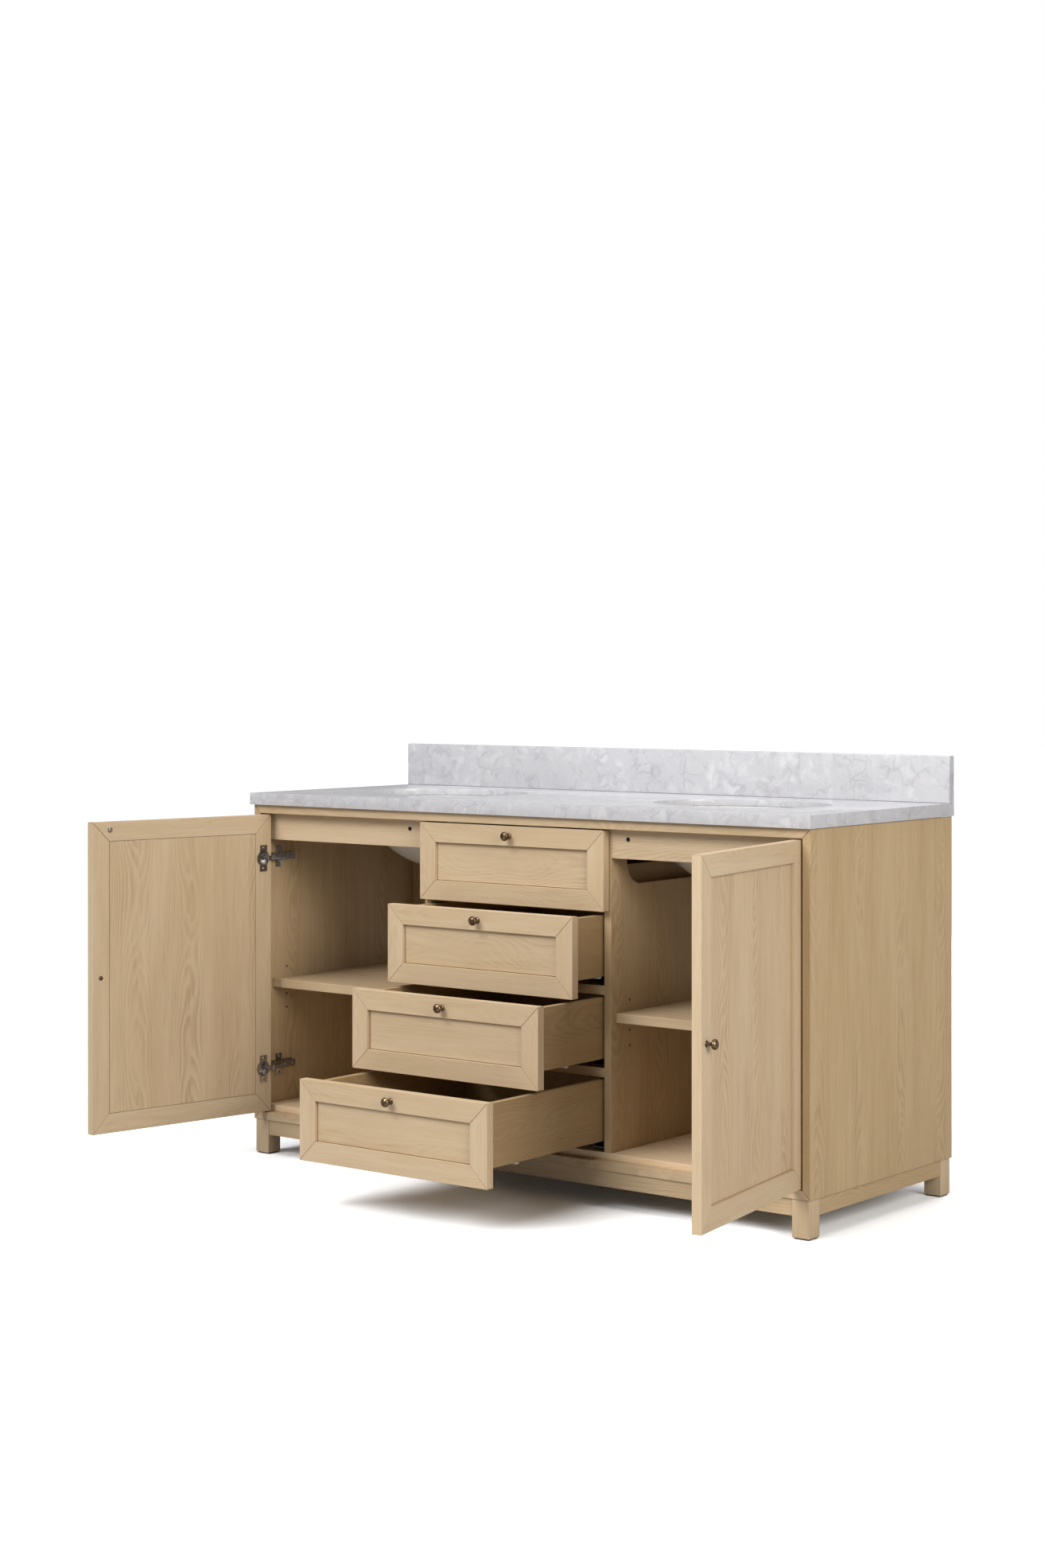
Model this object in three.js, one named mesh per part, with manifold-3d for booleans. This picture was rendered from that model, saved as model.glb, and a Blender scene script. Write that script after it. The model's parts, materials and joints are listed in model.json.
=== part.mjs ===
// A double-basin bathroom vanity cabinet: an oak case on four square feet, with two inset frame-and-panel
// doors on concealed hinges, four drawers on under-mount slides, a marble top with two under-mount basins
// and a marble backsplash. It stands with both doors open and the lower three drawers pulled out in steps.
// Millimetres. X runs along the front from left to right, Y from front to back, and Z up from the floor.
import * as THREE from 'three';
import { mergeVertices } from 'three/addons/utils/BufferGeometryUtils.js';
import Module from 'manifold-3d';

const wasm = await Module();
wasm.setup();

// ---- Driving dimensions ----
// Case
const CASE_WIDTH = 1513;
const CASE_DEPTH = 576;
const CASE_HEIGHT = 732.5;
const BOARD = 18; // sides, bottom and dividers
const TOP_BOARD = 20;
const TOP_RAIL_DEPTH = 70;
const FLOOR_STEP = 14.5; // the floor of the bays stands above the bottom's front edge
const BACK_THICKNESS = 12;
const BACK_RECESS = 15.5;
const CENTRE_BAY = 474.6; // clear width between the dividers
const SUB_RAIL_HEIGHT = 62;
const DRAWER_RAIL_HEIGHT = 19.5;
const DRAWER_RAIL_DEPTH = 70;
const DRAWER_RAIL_DROP = 4; // underside below the lower edge of the drawer front above it
const SERVICE_HOLE_WIDTH = 340; // openings in the back for the pipes
const SERVICE_HOLE_HEIGHT = 260;
const SERVICE_HOLE_RADIUS = 30;
const SERVICE_HOLE_CENTRE = 388; // above the floor of the bays
const CATCH_RADIUS = 5;
const CATCH_BELOW = 21; // below the top of the opening
const CATCH_FROM_DIVIDER = 44;

// Base
const FOOT_HEIGHT = 79.5;
const FOOT_SIZE = 40;
const FOOT_INSET = 3.5; // behind the case sides and the case back
const FOOT_FRONT_INSET = 2;
const APRON_HEIGHT = 34.5;
const APRON_THICKNESS = 18;
const APRON_RECESS = 2; // behind the faces of the feet

// Shelves
const SHELF_THICKNESS = 20;
const SHELF_ABOVE_FLOOR = 271.5; // underside above the floor of the bays
const SHELF_SETBACK = 42;
const SHELF_BACK_GAP = 12;

// Doors and drawer fronts
const FRONT_THICKNESS = 20;
const FRONT_INSET = 2; // behind the front edges of the case
const REVEAL = 3; // gap round each door and drawer front
const STOP_GAP = 2; // between a closed front and the edges behind it
const FRAME_FACE = 43;
const PANEL_RECESS = 8;
const DRAWER_OVERLAP = 14.1; // how far a drawer front covers each divider
const DRAWER_COUNT = 4;

// Drawers, numbered from the top
const DRAWER_PULLS = [0, 108.2, 223.4, 387.7];
const BOX_SIDE_GAP = 5.3;
const BOX_WALL = 14;
const BOX_BACK_GAP = 26.5; // between the box of a closed drawer and the back
const BOX_TOP_GAP = 6.5;
const BOX_BOTTOM_LIFT = 12;
const BOX_BOTTOM_THICKNESS = 8;
const TOP_BOX_HEIGHT = 58;
const BOX_BASIN_GAP = 10; // room kept between a box and the basins over it
const SLIDE_BACK_GAP = 22.5; // between a slide and the back
const SLIDE_WIDTH = 30;
const SLIDE_HEIGHT = 13;
const SLIDE_SHEET = 2;
const SLIDE_DROP = 1; // upper edge of the slide's outer wall below the box
const SLIDE_RAIL_GAP = 4.5; // between a slide and the drawer rail under it

// Concealed hinges
const DOOR_ANGLES = { left: 100.6, right: 99.5 }; // degrees open
const PIVOT_FROM_EDGE = 6.5;
const PIVOT_FROM_FACE = 4.2;
const HINGE_FROM_END = 100.5;
const CUP_FROM_EDGE = 22.5;
const CUP_RADIUS = 17.5;
const CUP_DEPTH = 12.5;
const CUP_WALL = 1;
const FLANGE_WIDTH = 20;
const FLANGE_LENGTH = 61;
const FLANGE_THICKNESS = 1.5;
const LINK_THICKNESS = 3;
const LINK_FLANGE_GAP = 0.4;
const LINK_ANGLES = [65, 100]; // about the hinge axis, with the door closed
const LINK_POST = 2.5;
const HOOK_THICKNESS = 3;
const ARM_ANGLES = [72, 162];
const ARM_RUNNING_GAP = 0.5;
const ARM_THICKNESS = 12;
const LINK_WIDTH = 10;
const ARM_WIDTH = 16;
const ARM_LENGTH = 76;
const ARM_FOOT_SETBACK = 6;
const ARM_FOOT_MARGIN = 2;
const PLATE_THICKNESS = 2.5;
const PLATE_HEIGHT = 50;
const PLATE_WIDTH = 19;
const PLATE_FROM_ARM_TIP = 23;

// Knobs
const KNOB_BASE_RADIUS = 6.5;
const KNOB_HEAD_RADIUS = 10;
const KNOB_LENGTH = 23;
const KNOB_STEPS = 24;
// Radius and height of the knob's section, as shares of the head's radius and of the length.
const KNOB_SECTION = [[0.42, 0.15], [0.36, 0.34], [0.56, 0.5], [0.93, 0.62], [1, 0.72], [0.92, 0.84],
  [0.56, 0.96], [0, 1]];
const KNOB_BASE_EDGE = 0.07;

// Top and basins
const TOP_SIDE_OVERHANG = 5.5;
const TOP_FRONT_OVERHANG = 9;
const TOP_EDGE_HEIGHT = 27;
const SLAB_THICKNESS = 14;
const EDGE_STRIP_WIDTH = 40;
const SPLASH_HEIGHT = 102;
const SPLASH_THICKNESS = 20.7;
const BASIN_END_GAP = 125.5; // between a basin's opening and the inside of the case side
const BASIN_BEHIND_MIDDLE = 2; // basin centre behind the middle of the case's depth
const BASIN_HALF_LENGTH = 205;
const BASIN_HALF_DEPTH = 155;
const BASIN_DEPTH = 155;
const BASIN_WALL = 10;
const BASIN_RIM_WIDTH = 34;
const BASIN_RIM_THICKNESS = 12;
const DRAIN_RADIUS = 23;
const TAP_HOLE_RADIUS = 17.5;
const TAP_HOLE_SPREAD = 101.5; // centre hole to each outer hole
const TAP_HOLE_FROM_SPLASH = 30;
const NOTCH_FRONT_GAP = 43; // between a divider's notch and the basin over it
const NOTCH_BACK_GAP = 43.5;
const NOTCH_UNDER_GAP = 35;
const NOTCH_RADIUS = 48;

const SEAT_GAP = 0.3; // between pieces fitted together on a turned door
const CUT_MARGIN = 1; // how far a cutting solid runs past the face it opens
const ROUND_STEPS = 48;
const HOLE_STEPS = 32;
const CATCH_STEPS = 20;
const ORIGIN_BEHIND_FRONT = 56; // the origin lies under the middle of the open cabinet

// ---- Derived places ----
const caseHalf = CASE_WIDTH / 2;
const innerHalf = caseHalf - BOARD;
const caseBottom = FOOT_HEIGHT;
const caseTop = caseBottom + CASE_HEIGHT;
const openBottom = caseBottom + BOARD;
const openTop = caseTop - TOP_BOARD;
const floorTop = openBottom + FLOOR_STEP;
const frontFace = FRONT_INSET;
const frontBack = frontFace + FRONT_THICKNESS;
const innerFront = frontBack + STOP_GAP;
const backBack = CASE_DEPTH - BACK_RECESS;
const backFront = backBack - BACK_THICKNESS;
const dividerInner = CENTRE_BAY / 2;
const dividerOuter = dividerInner + BOARD;
const drawerHalf = dividerInner + DRAWER_OVERLAP;
const drawerHeight = (openTop - openBottom - (DRAWER_COUNT + 1) * REVEAL) / DRAWER_COUNT;
const drawerBottoms = [...Array(DRAWER_COUNT).keys()]
  .map((i) => openTop - (i + 1) * (drawerHeight + REVEAL));
const doorBottom = openBottom + REVEAL;
const doorTop = openTop - REVEAL;
const doorFreeEdge = drawerHalf + REVEAL;
const doorHingeEdge = innerHalf - REVEAL;
const pivotX = doorHingeEdge - PIVOT_FROM_EDGE;
const pivotY = frontFace + PIVOT_FROM_FACE;
const hingeHeights = { lower: doorBottom + HINGE_FROM_END, upper: doorTop - HINGE_FROM_END };
const topHalf = caseHalf + TOP_SIDE_OVERHANG;
const topSurface = caseTop + TOP_EDGE_HEIGHT;
const slabUnderside = topSurface - SLAB_THICKNESS;
const splashFront = CASE_DEPTH - SPLASH_THICKNESS;
const shelfUnderside = floorTop + SHELF_ABOVE_FLOOR;
const boxHalf = dividerInner - BOX_SIDE_GAP;
const boxBack = backFront - BOX_BACK_GAP;
const boxLift = DRAWER_RAIL_HEIGHT - DRAWER_RAIL_DROP + SLIDE_RAIL_GAP + SLIDE_HEIGHT + SLIDE_DROP;
const basinX = innerHalf - BASIN_END_GAP - BASIN_HALF_LENGTH;
const basinY = CASE_DEPTH / 2 + BASIN_BEHIND_MIDDLE;
const basinStretch = BASIN_HALF_LENGTH / BASIN_HALF_DEPTH;
const bowlHalfDepth = BASIN_HALF_DEPTH + BASIN_WALL;
const linkInside = FRONT_THICKNESS - PIVOT_FROM_FACE + SEAT_GAP + FLANGE_THICKNESS + LINK_FLANGE_GAP;
const linkRadii = [linkInside, linkInside + LINK_THICKNESS];
const hookInside = linkRadii[1] + ARM_RUNNING_GAP;
const hookRadii = [hookInside, hookInside + HOOK_THICKNESS];
const SIDES = [['left', -1], ['right', 1]];

// Height of the underside of a basin's bowl at a distance from the middle of the cabinet.
function bowlUnderside(x) {
  const share = Math.max(basinX - x, 0) / (bowlHalfDepth * basinStretch);
  return slabUnderside - (BASIN_DEPTH + BASIN_WALL) * Math.sqrt(Math.max(1 - share ** 2, 0));
}

// ---- Materials ----
function material(color, roughness, metalness) {
  return new THREE.MeshStandardMaterial({ color, roughness, metalness });
}

const oak = material(0xc9ad86, 0.6, 0);
const marble = material(0xd9dadc, 0.2, 0);
const ceramic = material(0xf4f4f2, 0.1, 0);
const bronze = material(0x5b4a36, 0.35, 0.9);
const steel = material(0x8a8a88, 0.35, 0.9);

// ---- Solids ----
// Every builder writes its end coordinates exactly, so pieces that share a face share its plane.
function block(x0, x1, y0, y1, z0, z1) {
  const geometry = new THREE.BoxGeometry(1, 1, 1);
  const position = geometry.attributes.position;
  for (let i = 0; i < position.count; i++) {
    position.setXYZ(i, position.getX(i) < 0 ? Math.min(x0, x1) : Math.max(x0, x1),
      position.getY(i) < 0 ? y0 : y1, position.getZ(i) < 0 ? z0 : z1);
  }
  return geometry;
}

function extruded(shape) {
  return new THREE.ExtrudeGeometry(shape, { depth: 1, bevelEnabled: false, curveSegments: 12 });
}

// An outline in X and Z, carried along Y from y0 to y1.
function alongY(shape, y0, y1) {
  const geometry = extruded(shape);
  const position = geometry.attributes.position;
  for (let i = 0; i < position.count; i++) {
    position.setXYZ(i, position.getX(i), position.getZ(i) < 0.5 ? y1 : y0, position.getY(i));
  }
  return geometry;
}

// An outline in Y and Z, carried along X from x0 to x1.
function alongX(shape, x0, x1) {
  const geometry = extruded(shape);
  const position = geometry.attributes.position;
  for (let i = 0; i < position.count; i++) {
    position.setXYZ(i, position.getZ(i) < 0.5 ? Math.min(x0, x1) : Math.max(x0, x1),
      position.getX(i), position.getY(i));
  }
  return geometry;
}

// An outline in X and Y, carried up Z from z0 to z1.
function alongZ(shape, z0, z1) {
  const geometry = extruded(shape);
  const position = geometry.attributes.position;
  for (let i = 0; i < position.count; i++) {
    position.setZ(i, position.getZ(i) < 0.5 ? z0 : z1);
  }
  return geometry;
}

function outline(points) {
  return new THREE.Shape(points.map(([x, y]) => new THREE.Vector2(x, y)));
}

function ellipse(x, y, a, b, steps = ROUND_STEPS) {
  const turns = [...Array(steps).keys()].map((i) => (i * 2 * Math.PI) / steps);
  return turns.map((t) => [x + a * Math.cos(t), y + b * Math.sin(t)]);
}

function rectangle(x0, x1, y0, y1) {
  return outline([[x0, y0], [x1, y0], [x1, y1], [x0, y1]]);
}

function roundedRectangle(x, y, width, height, radius) {
  const path = new THREE.Path();
  const [dx, dy] = [width / 2 - radius, height / 2 - radius];
  path.absarc(x + dx, y + dy, radius, 0, Math.PI / 2);
  path.absarc(x - dx, y + dy, radius, Math.PI / 2, Math.PI);
  path.absarc(x - dx, y - dy, radius, Math.PI, 1.5 * Math.PI);
  path.absarc(x + dx, y - dy, radius, 1.5 * Math.PI, 2 * Math.PI);
  return path;
}

function toSolid(geometry) {
  const plain = geometry.clone();
  plain.deleteAttribute('normal');
  plain.deleteAttribute('uv');
  const merged = mergeVertices(plain, 1e-4);
  return new wasm.Manifold(new wasm.Mesh({
    numProp: 3,
    vertProperties: new Float32Array(merged.attributes.position.array),
    triVerts: new Uint32Array(merged.index.array),
  }));
}

function toGeometry(solid) {
  const mesh = solid.getMesh();
  const geometry = new THREE.BufferGeometry();
  geometry.setAttribute('position', new THREE.BufferAttribute(new Float32Array(mesh.vertProperties), 3));
  geometry.setIndex(new THREE.BufferAttribute(new Uint32Array(mesh.triVerts), 1));
  geometry.computeVertexNormals();
  return geometry;
}

function cut(geometry, ...tools) {
  return toGeometry(tools.reduce((solid, tool) => solid.subtract(toSolid(tool)), toSolid(geometry)));
}

function join(geometry, ...others) {
  return toGeometry(others.reduce((solid, other) => solid.add(toSolid(other)), toSolid(geometry)));
}

function addPiece(group, name, geometry, surface) {
  const mesh = new THREE.Mesh(geometry, surface);
  mesh.name = name;
  group.add(mesh);
}

// ---- Base ----
function addBase(group) {
  const footOuter = caseHalf - FOOT_INSET;
  const footInner = footOuter - FOOT_SIZE;
  const rows = {
    front: [FOOT_FRONT_INSET, FOOT_FRONT_INSET + FOOT_SIZE],
    back: [CASE_DEPTH - FOOT_INSET - FOOT_SIZE, CASE_DEPTH - FOOT_INSET],
  };
  const apronBottom = caseBottom - APRON_HEIGHT;
  for (const [side, s] of SIDES) {
    for (const [row, [y0, y1]] of Object.entries(rows)) {
      const foot = block(s * footInner, s * footOuter, y0, y1, 0, caseBottom);
      addPiece(group, `foot_${row}_${side}`, foot, oak);
    }
    const face = footOuter - APRON_RECESS;
    const apron = block(s * (face - APRON_THICKNESS), s * face, rows.front[1], rows.back[0],
      apronBottom, caseBottom);
    addPiece(group, `apron_${side}`, apron, oak);
  }
  const frontApron = rows.front[0] + APRON_RECESS;
  const backApron = rows.back[1] - APRON_RECESS;
  addPiece(group, 'apron_front', block(-footInner, footInner, frontApron, frontApron + APRON_THICKNESS,
    apronBottom, caseBottom), oak);
  addPiece(group, 'apron_back', block(-footInner, footInner, backApron - APRON_THICKNESS, backApron,
    apronBottom, caseBottom), oak);
}

// ---- Case ----
// The sides meet the bottom and the top rail in mitres.
function addCase(group) {
  const bottom = alongY(outline([[-caseHalf, caseBottom], [caseHalf, caseBottom], [innerHalf, openBottom],
    [-innerHalf, openBottom]]), 0, CASE_DEPTH);
  const floor = block(-innerHalf, innerHalf, innerFront, backFront, openBottom, floorTop);
  addPiece(group, 'case_bottom', join(bottom, floor), oak);
  addPiece(group, 'top_rail', alongY(outline([[-innerHalf, openTop], [innerHalf, openTop],
    [caseHalf, caseTop], [-caseHalf, caseTop]]), 0, TOP_RAIL_DEPTH), oak);

  const bayCentre = (dividerOuter + innerHalf) / 2;
  const back = rectangle(-innerHalf, innerHalf, openBottom, caseTop);
  for (const [side, s] of SIDES) {
    addPiece(group, `side_${side}`, alongY(outline([[s * caseHalf, caseBottom], [s * caseHalf, caseTop],
      [s * innerHalf, openTop], [s * innerHalf, openBottom]]), 0, CASE_DEPTH), oak);
    back.holes.push(roundedRectangle(s * bayCentre, floorTop + SERVICE_HOLE_CENTRE,
      SERVICE_HOLE_WIDTH, SERVICE_HOLE_HEIGHT, SERVICE_HOLE_RADIUS));
    addPiece(group, `divider_${side}`, dividerBoard(s), oak);
    addPiece(group, `sub_rail_${side}`, subRail(s), oak);
    addPiece(group, `shelf_${side}`, block(s * dividerOuter, s * innerHalf, SHELF_SETBACK,
      backFront - SHELF_BACK_GAP, shelfUnderside, shelfUnderside + SHELF_THICKNESS), oak);
  }
  addPiece(group, 'back_panel', alongY(back, backFront, backBack), oak);

  for (let i = 0; i < DRAWER_COUNT - 1; i++) {
    const z = drawerBottoms[i] - DRAWER_RAIL_DROP;
    addPiece(group, `drawer_rail_${i + 1}`, block(-dividerInner, dividerInner, innerFront,
      innerFront + DRAWER_RAIL_DEPTH, z, z + DRAWER_RAIL_HEIGHT), oak);
  }
}

// A divider is notched from the top, so that the basin can pass over it.
function dividerBoard(s) {
  const notchFront = basinY - bowlHalfDepth - NOTCH_FRONT_GAP;
  const notchBack = basinY + bowlHalfDepth + NOTCH_BACK_GAP;
  const notchBottom = Math.min(bowlUnderside(dividerOuter) - NOTCH_UNDER_GAP, openTop - NOTCH_RADIUS);
  const shape = new THREE.Shape();
  shape.moveTo(innerFront, floorTop);
  shape.lineTo(backFront, floorTop);
  shape.lineTo(backFront, openTop);
  shape.lineTo(notchBack, openTop);
  shape.lineTo(notchBack, notchBottom + NOTCH_RADIUS);
  shape.absarc(notchBack - NOTCH_RADIUS, notchBottom + NOTCH_RADIUS, NOTCH_RADIUS, 0, -Math.PI / 2, true);
  shape.lineTo(notchFront + NOTCH_RADIUS, notchBottom);
  shape.absarc(notchFront + NOTCH_RADIUS, notchBottom + NOTCH_RADIUS, NOTCH_RADIUS, -Math.PI / 2,
    -Math.PI, true);
  shape.lineTo(notchFront, openTop);
  shape.lineTo(innerFront, openTop);
  return alongX(shape, s * dividerInner, s * dividerOuter);
}

// The rail behind the top of a door carries the hole for the door's catch.
function subRail(s) {
  const x0 = Math.min(s * dividerOuter, s * innerHalf);
  const x1 = Math.max(s * dividerOuter, s * innerHalf);
  const shape = rectangle(x0, x1, openTop - SUB_RAIL_HEIGHT, openTop);
  const catchPlace = [s * (dividerOuter + CATCH_FROM_DIVIDER), openTop - CATCH_BELOW];
  shape.holes.push(outline(ellipse(...catchPlace, CATCH_RADIUS, CATCH_RADIUS, CATCH_STEPS)));
  return alongY(shape, innerFront, innerFront + BOARD);
}

// ---- Knobs ----
// The knob stands on a face that looks to -Y, at the given place on it.
function knob(x, face, z) {
  const profile = [[0, 0], [KNOB_BASE_RADIUS, 0], [KNOB_BASE_RADIUS, KNOB_BASE_EDGE * KNOB_LENGTH]];
  profile.push(...KNOB_SECTION.map(([r, h]) => [r * KNOB_HEAD_RADIUS, h * KNOB_LENGTH]));
  const geometry = new THREE.LatheGeometry(profile.map(([r, h]) => new THREE.Vector2(r, h)), KNOB_STEPS);
  return geometry.rotateX(Math.PI).translate(x, face, z);
}

// ---- Drawers and their slides ----
function addDrawer(root, i) {
  const drawer = new THREE.Group();
  drawer.position.y = -DRAWER_PULLS[i];
  root.add(drawer);
  const z0 = drawerBottoms[i];
  const z1 = z0 + drawerHeight;
  const panelHalf = drawerHalf - FRAME_FACE;
  const recess = block(-panelHalf, panelHalf, frontFace - CUT_MARGIN, frontFace + PANEL_RECESS,
    z0 + FRAME_FACE, z1 - FRAME_FACE);
  const front = cut(block(-drawerHalf, drawerHalf, frontFace, frontBack, z0, z1), recess);
  addPiece(drawer, `drawer_front_${i + 1}`, front, oak);

  const under = z0 + boxLift;
  const rim = i === 0 ? under + TOP_BOX_HEIGHT : z1 - BOX_TOP_GAP;
  const [inX, y0, y1] = [boxHalf - BOX_WALL, frontBack + BOX_WALL, boxBack - BOX_WALL];
  const box = cut(block(-boxHalf, boxHalf, frontBack, boxBack, under, rim),
    block(-inX, inX, y0, y1, under + BOX_BOTTOM_LIFT + BOX_BOTTOM_THICKNESS, rim + CUT_MARGIN),
    block(-inX, inX, y0, y1, under - CUT_MARGIN, under + BOX_BOTTOM_LIFT),
    ...SIDES.map(([, s]) => bowlRoom(s * basinX)));
  addPiece(drawer, `drawer_box_${i + 1}`, box, oak);
  addPiece(drawer, `drawer_knob_${i + 1}`, knob(0, frontFace, z1 - FRAME_FACE / 2), bronze);

  for (const [side, s] of SIDES) {
    addPiece(root, `slide_${i + 1}_${side}`, slide(s, under), steel);
  }
}

// The room that a box leaves free for a bowl, open to the back so that the drawer can run out under it.
function bowlRoom(x) {
  const halfLength = bowlHalfDepth * basinStretch + BOX_BASIN_GAP;
  const depth = BASIN_DEPTH + BASIN_WALL + BOX_BASIN_GAP;
  return alongY(outline(ellipse(x, slabUnderside, halfLength, depth)),
    basinY - bowlHalfDepth - BOX_BASIN_GAP, boxBack + CUT_MARGIN);
}

// The fixed member of a slide is a channel screwed to the divider, under the side of the drawer box.
function slide(s, boxUnderside) {
  const outer = dividerInner;
  const inner = dividerInner - SLIDE_WIDTH;
  const z1 = boxUnderside - SLIDE_DROP;
  const z0 = z1 - SLIDE_HEIGHT;
  const section = [[outer, z0], [outer, z1], [outer - SLIDE_SHEET, z1],
    [outer - SLIDE_SHEET, z0 + SLIDE_SHEET], [inner + SLIDE_SHEET, z0 + SLIDE_SHEET],
    [inner + SLIDE_SHEET, boxUnderside - SEAT_GAP], [inner, boxUnderside - SEAT_GAP], [inner, z0]];
  const y0 = innerFront + SLIDE_SHEET;
  return alongY(outline(section.map(([x, z]) => [s * x, z])), y0, backFront - SLIDE_BACK_GAP);
}

// ---- Doors ----
// A door is built closed, in a group whose origin is its hinge axis, and the group is then turned open.
function addDoor(root, side, s) {
  const door = new THREE.Group();
  door.position.set(s * pivotX, pivotY, 0);
  door.rotation.z = s * THREE.MathUtils.degToRad(DOOR_ANGLES[side]);
  root.add(door);
  const [edge, free] = [PIVOT_FROM_EDGE, PIVOT_FROM_EDGE - (doorHingeEdge - doorFreeEdge)];
  const [face, back] = [-PIVOT_FROM_FACE, FRONT_THICKNESS - PIVOT_FROM_FACE];
  const cupX = s * (edge - CUP_FROM_EDGE);

  const [left, right] = [Math.min(s * edge, s * free), Math.max(s * edge, s * free)];
  const frame = rectangle(left, right, doorBottom, doorTop);
  const [in0, in1] = [s * (edge - FRAME_FACE), s * (free + FRAME_FACE)];
  const [x0, x1] = [Math.min(in0, in1), Math.max(in0, in1)];
  frame.holes.push(rectangle(x0, x1, doorBottom + FRAME_FACE, doorTop - FRAME_FACE));
  const bores = Object.values(hingeHeights).map((z) => alongY(
    outline(ellipse(cupX, z, CUP_RADIUS + SEAT_GAP, CUP_RADIUS + SEAT_GAP, HOLE_STEPS)),
    back - CUP_DEPTH - SEAT_GAP, back + CUT_MARGIN));
  addPiece(door, `door_frame_${side}`, cut(alongY(frame, face, back), ...bores), oak);
  const panel = block(x0 + SEAT_GAP, x1 - SEAT_GAP, face + PANEL_RECESS, back,
    doorBottom + FRAME_FACE + SEAT_GAP, doorTop - FRAME_FACE - SEAT_GAP);
  addPiece(door, `door_panel_${side}`, cut(panel, ...bores), oak);
  addPiece(door, `door_knob_${side}`, knob(s * (free + FRAME_FACE / 2), face - SEAT_GAP,
    (doorBottom + doorTop) / 2), bronze);
  for (const [level, z] of Object.entries(hingeHeights)) {
    addPiece(door, `hinge_cup_${side}_${level}`, hingeCup(s, cupX, back, z), steel);
    addPiece(root, `hinge_arm_${side}_${level}`, hingeArm(s, z), steel);
  }
}

// Part of a ring about the hinge axis, from one angle to another, in degrees.
function ringPart(s, [r0, r1], from, to, z0, z1) {
  const steps = 12;
  const turns = [...Array(steps + 1).keys()]
    .map((i) => THREE.MathUtils.degToRad(from + ((to - from) * i) / steps));
  const outerArc = turns.map((t) => [s * r1 * Math.cos(t), r1 * Math.sin(t)]);
  const innerArc = turns.reverse().map((t) => [s * r0 * Math.cos(t), r0 * Math.sin(t)]);
  return alongZ(outline([...outerArc, ...innerArc]), z0, z1);
}

// The cup sinks into the door. Its two flange tabs lie on the door, and its link bends round the axis.
function hingeCup(s, cupX, back, z) {
  const top = back + SEAT_GAP + FLANGE_THICKNESS;
  const disc = (radius, y0, y1) => alongY(outline(ellipse(cupX, z, radius, radius, HOLE_STEPS)), y0, y1);
  const shell = disc(CUP_RADIUS, back - CUP_DEPTH, top);
  const flange = block(cupX - FLANGE_WIDTH / 2, cupX + FLANGE_WIDTH / 2, back + SEAT_GAP, top,
    z - FLANGE_LENGTH / 2, z + FLANGE_LENGTH / 2);
  const hollow = disc(CUP_RADIUS - CUP_WALL, back - CUP_DEPTH + CUP_WALL, top + CUT_MARGIN);
  const body = toSolid(shell).add(toSolid(flange)).subtract(toSolid(hollow));
  const rimX = PIVOT_FROM_EDGE - CUP_FROM_EDGE + CUP_RADIUS;
  const [z0, z1] = [z - LINK_WIDTH / 2, z + LINK_WIDTH / 2];
  const post = block(s * (rimX - CUP_WALL), s * (rimX - CUP_WALL + LINK_POST), back + SEAT_GAP, top + 1,
    z0, z1);
  const link = ringPart(s, linkRadii, ...LINK_ANGLES, z0, z1);
  return toGeometry(body.add(toSolid(post)).add(toSolid(link)));
}

// The arm and its mounting plate are fixed to the inside of the case, and the arm's hooked tip reaches
// into the cup when the door is closed.
function hingeArm(s, z) {
  const wall = innerHalf - pivotX;
  const start = hookRadii[0] + ARM_RUNNING_GAP;
  const end = start + ARM_LENGTH;
  const across = (half) => [z - half, z + half];
  const hook = ringPart(s, hookRadii, ...ARM_ANGLES, ...across(LINK_WIDTH / 2));
  const arm = block(s * (wall - PLATE_THICKNESS - ARM_THICKNESS), s * wall, start, end,
    ...across(ARM_WIDTH / 2));
  const foot = block(s * (wall - PLATE_THICKNESS), s * wall, start + ARM_FOOT_SETBACK, end,
    ...across(ARM_WIDTH / 2 + ARM_FOOT_MARGIN));
  const plateStart = start + PLATE_FROM_ARM_TIP;
  const wings = block(s * (wall - PLATE_THICKNESS), s * wall, plateStart, plateStart + PLATE_WIDTH,
    ...across(PLATE_HEIGHT / 2));
  return join(hook, arm, foot, wings).translate(s * pivotX, pivotY, 0);
}

// ---- Top, backsplash and basins ----
function addTop(group) {
  const recessHalf = topHalf - EDGE_STRIP_WIDTH;
  const recess = block(-recessHalf, recessHalf, EDGE_STRIP_WIDTH - TOP_FRONT_OVERHANG,
    CASE_DEPTH - EDGE_STRIP_WIDTH, caseTop - CUT_MARGIN, slabUnderside);
  const tools = [recess];
  for (const [side, s] of SIDES) {
    const x = s * basinX;
    tools.push(alongZ(outline(ellipse(x, basinY, BASIN_HALF_LENGTH, BASIN_HALF_DEPTH)),
      caseTop - CUT_MARGIN, topSurface + CUT_MARGIN));
    for (const offset of [-TAP_HOLE_SPREAD, 0, TAP_HOLE_SPREAD]) {
      tools.push(alongZ(outline(ellipse(x + offset, splashFront - TAP_HOLE_FROM_SPLASH, TAP_HOLE_RADIUS,
        TAP_HOLE_RADIUS, HOLE_STEPS)), caseTop - CUT_MARGIN, topSurface + CUT_MARGIN));
    }
    addPiece(group, `basin_${side}`, basin(x, basinY), ceramic);
  }
  addPiece(group, 'marble_top', cut(block(-topHalf, topHalf, -TOP_FRONT_OVERHANG, CASE_DEPTH, caseTop,
    topSurface), ...tools), marble);
  addPiece(group, 'backsplash', block(-topHalf, topHalf, splashFront, CASE_DEPTH, topSurface,
    topSurface + SPLASH_HEIGHT), marble);
}

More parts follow.
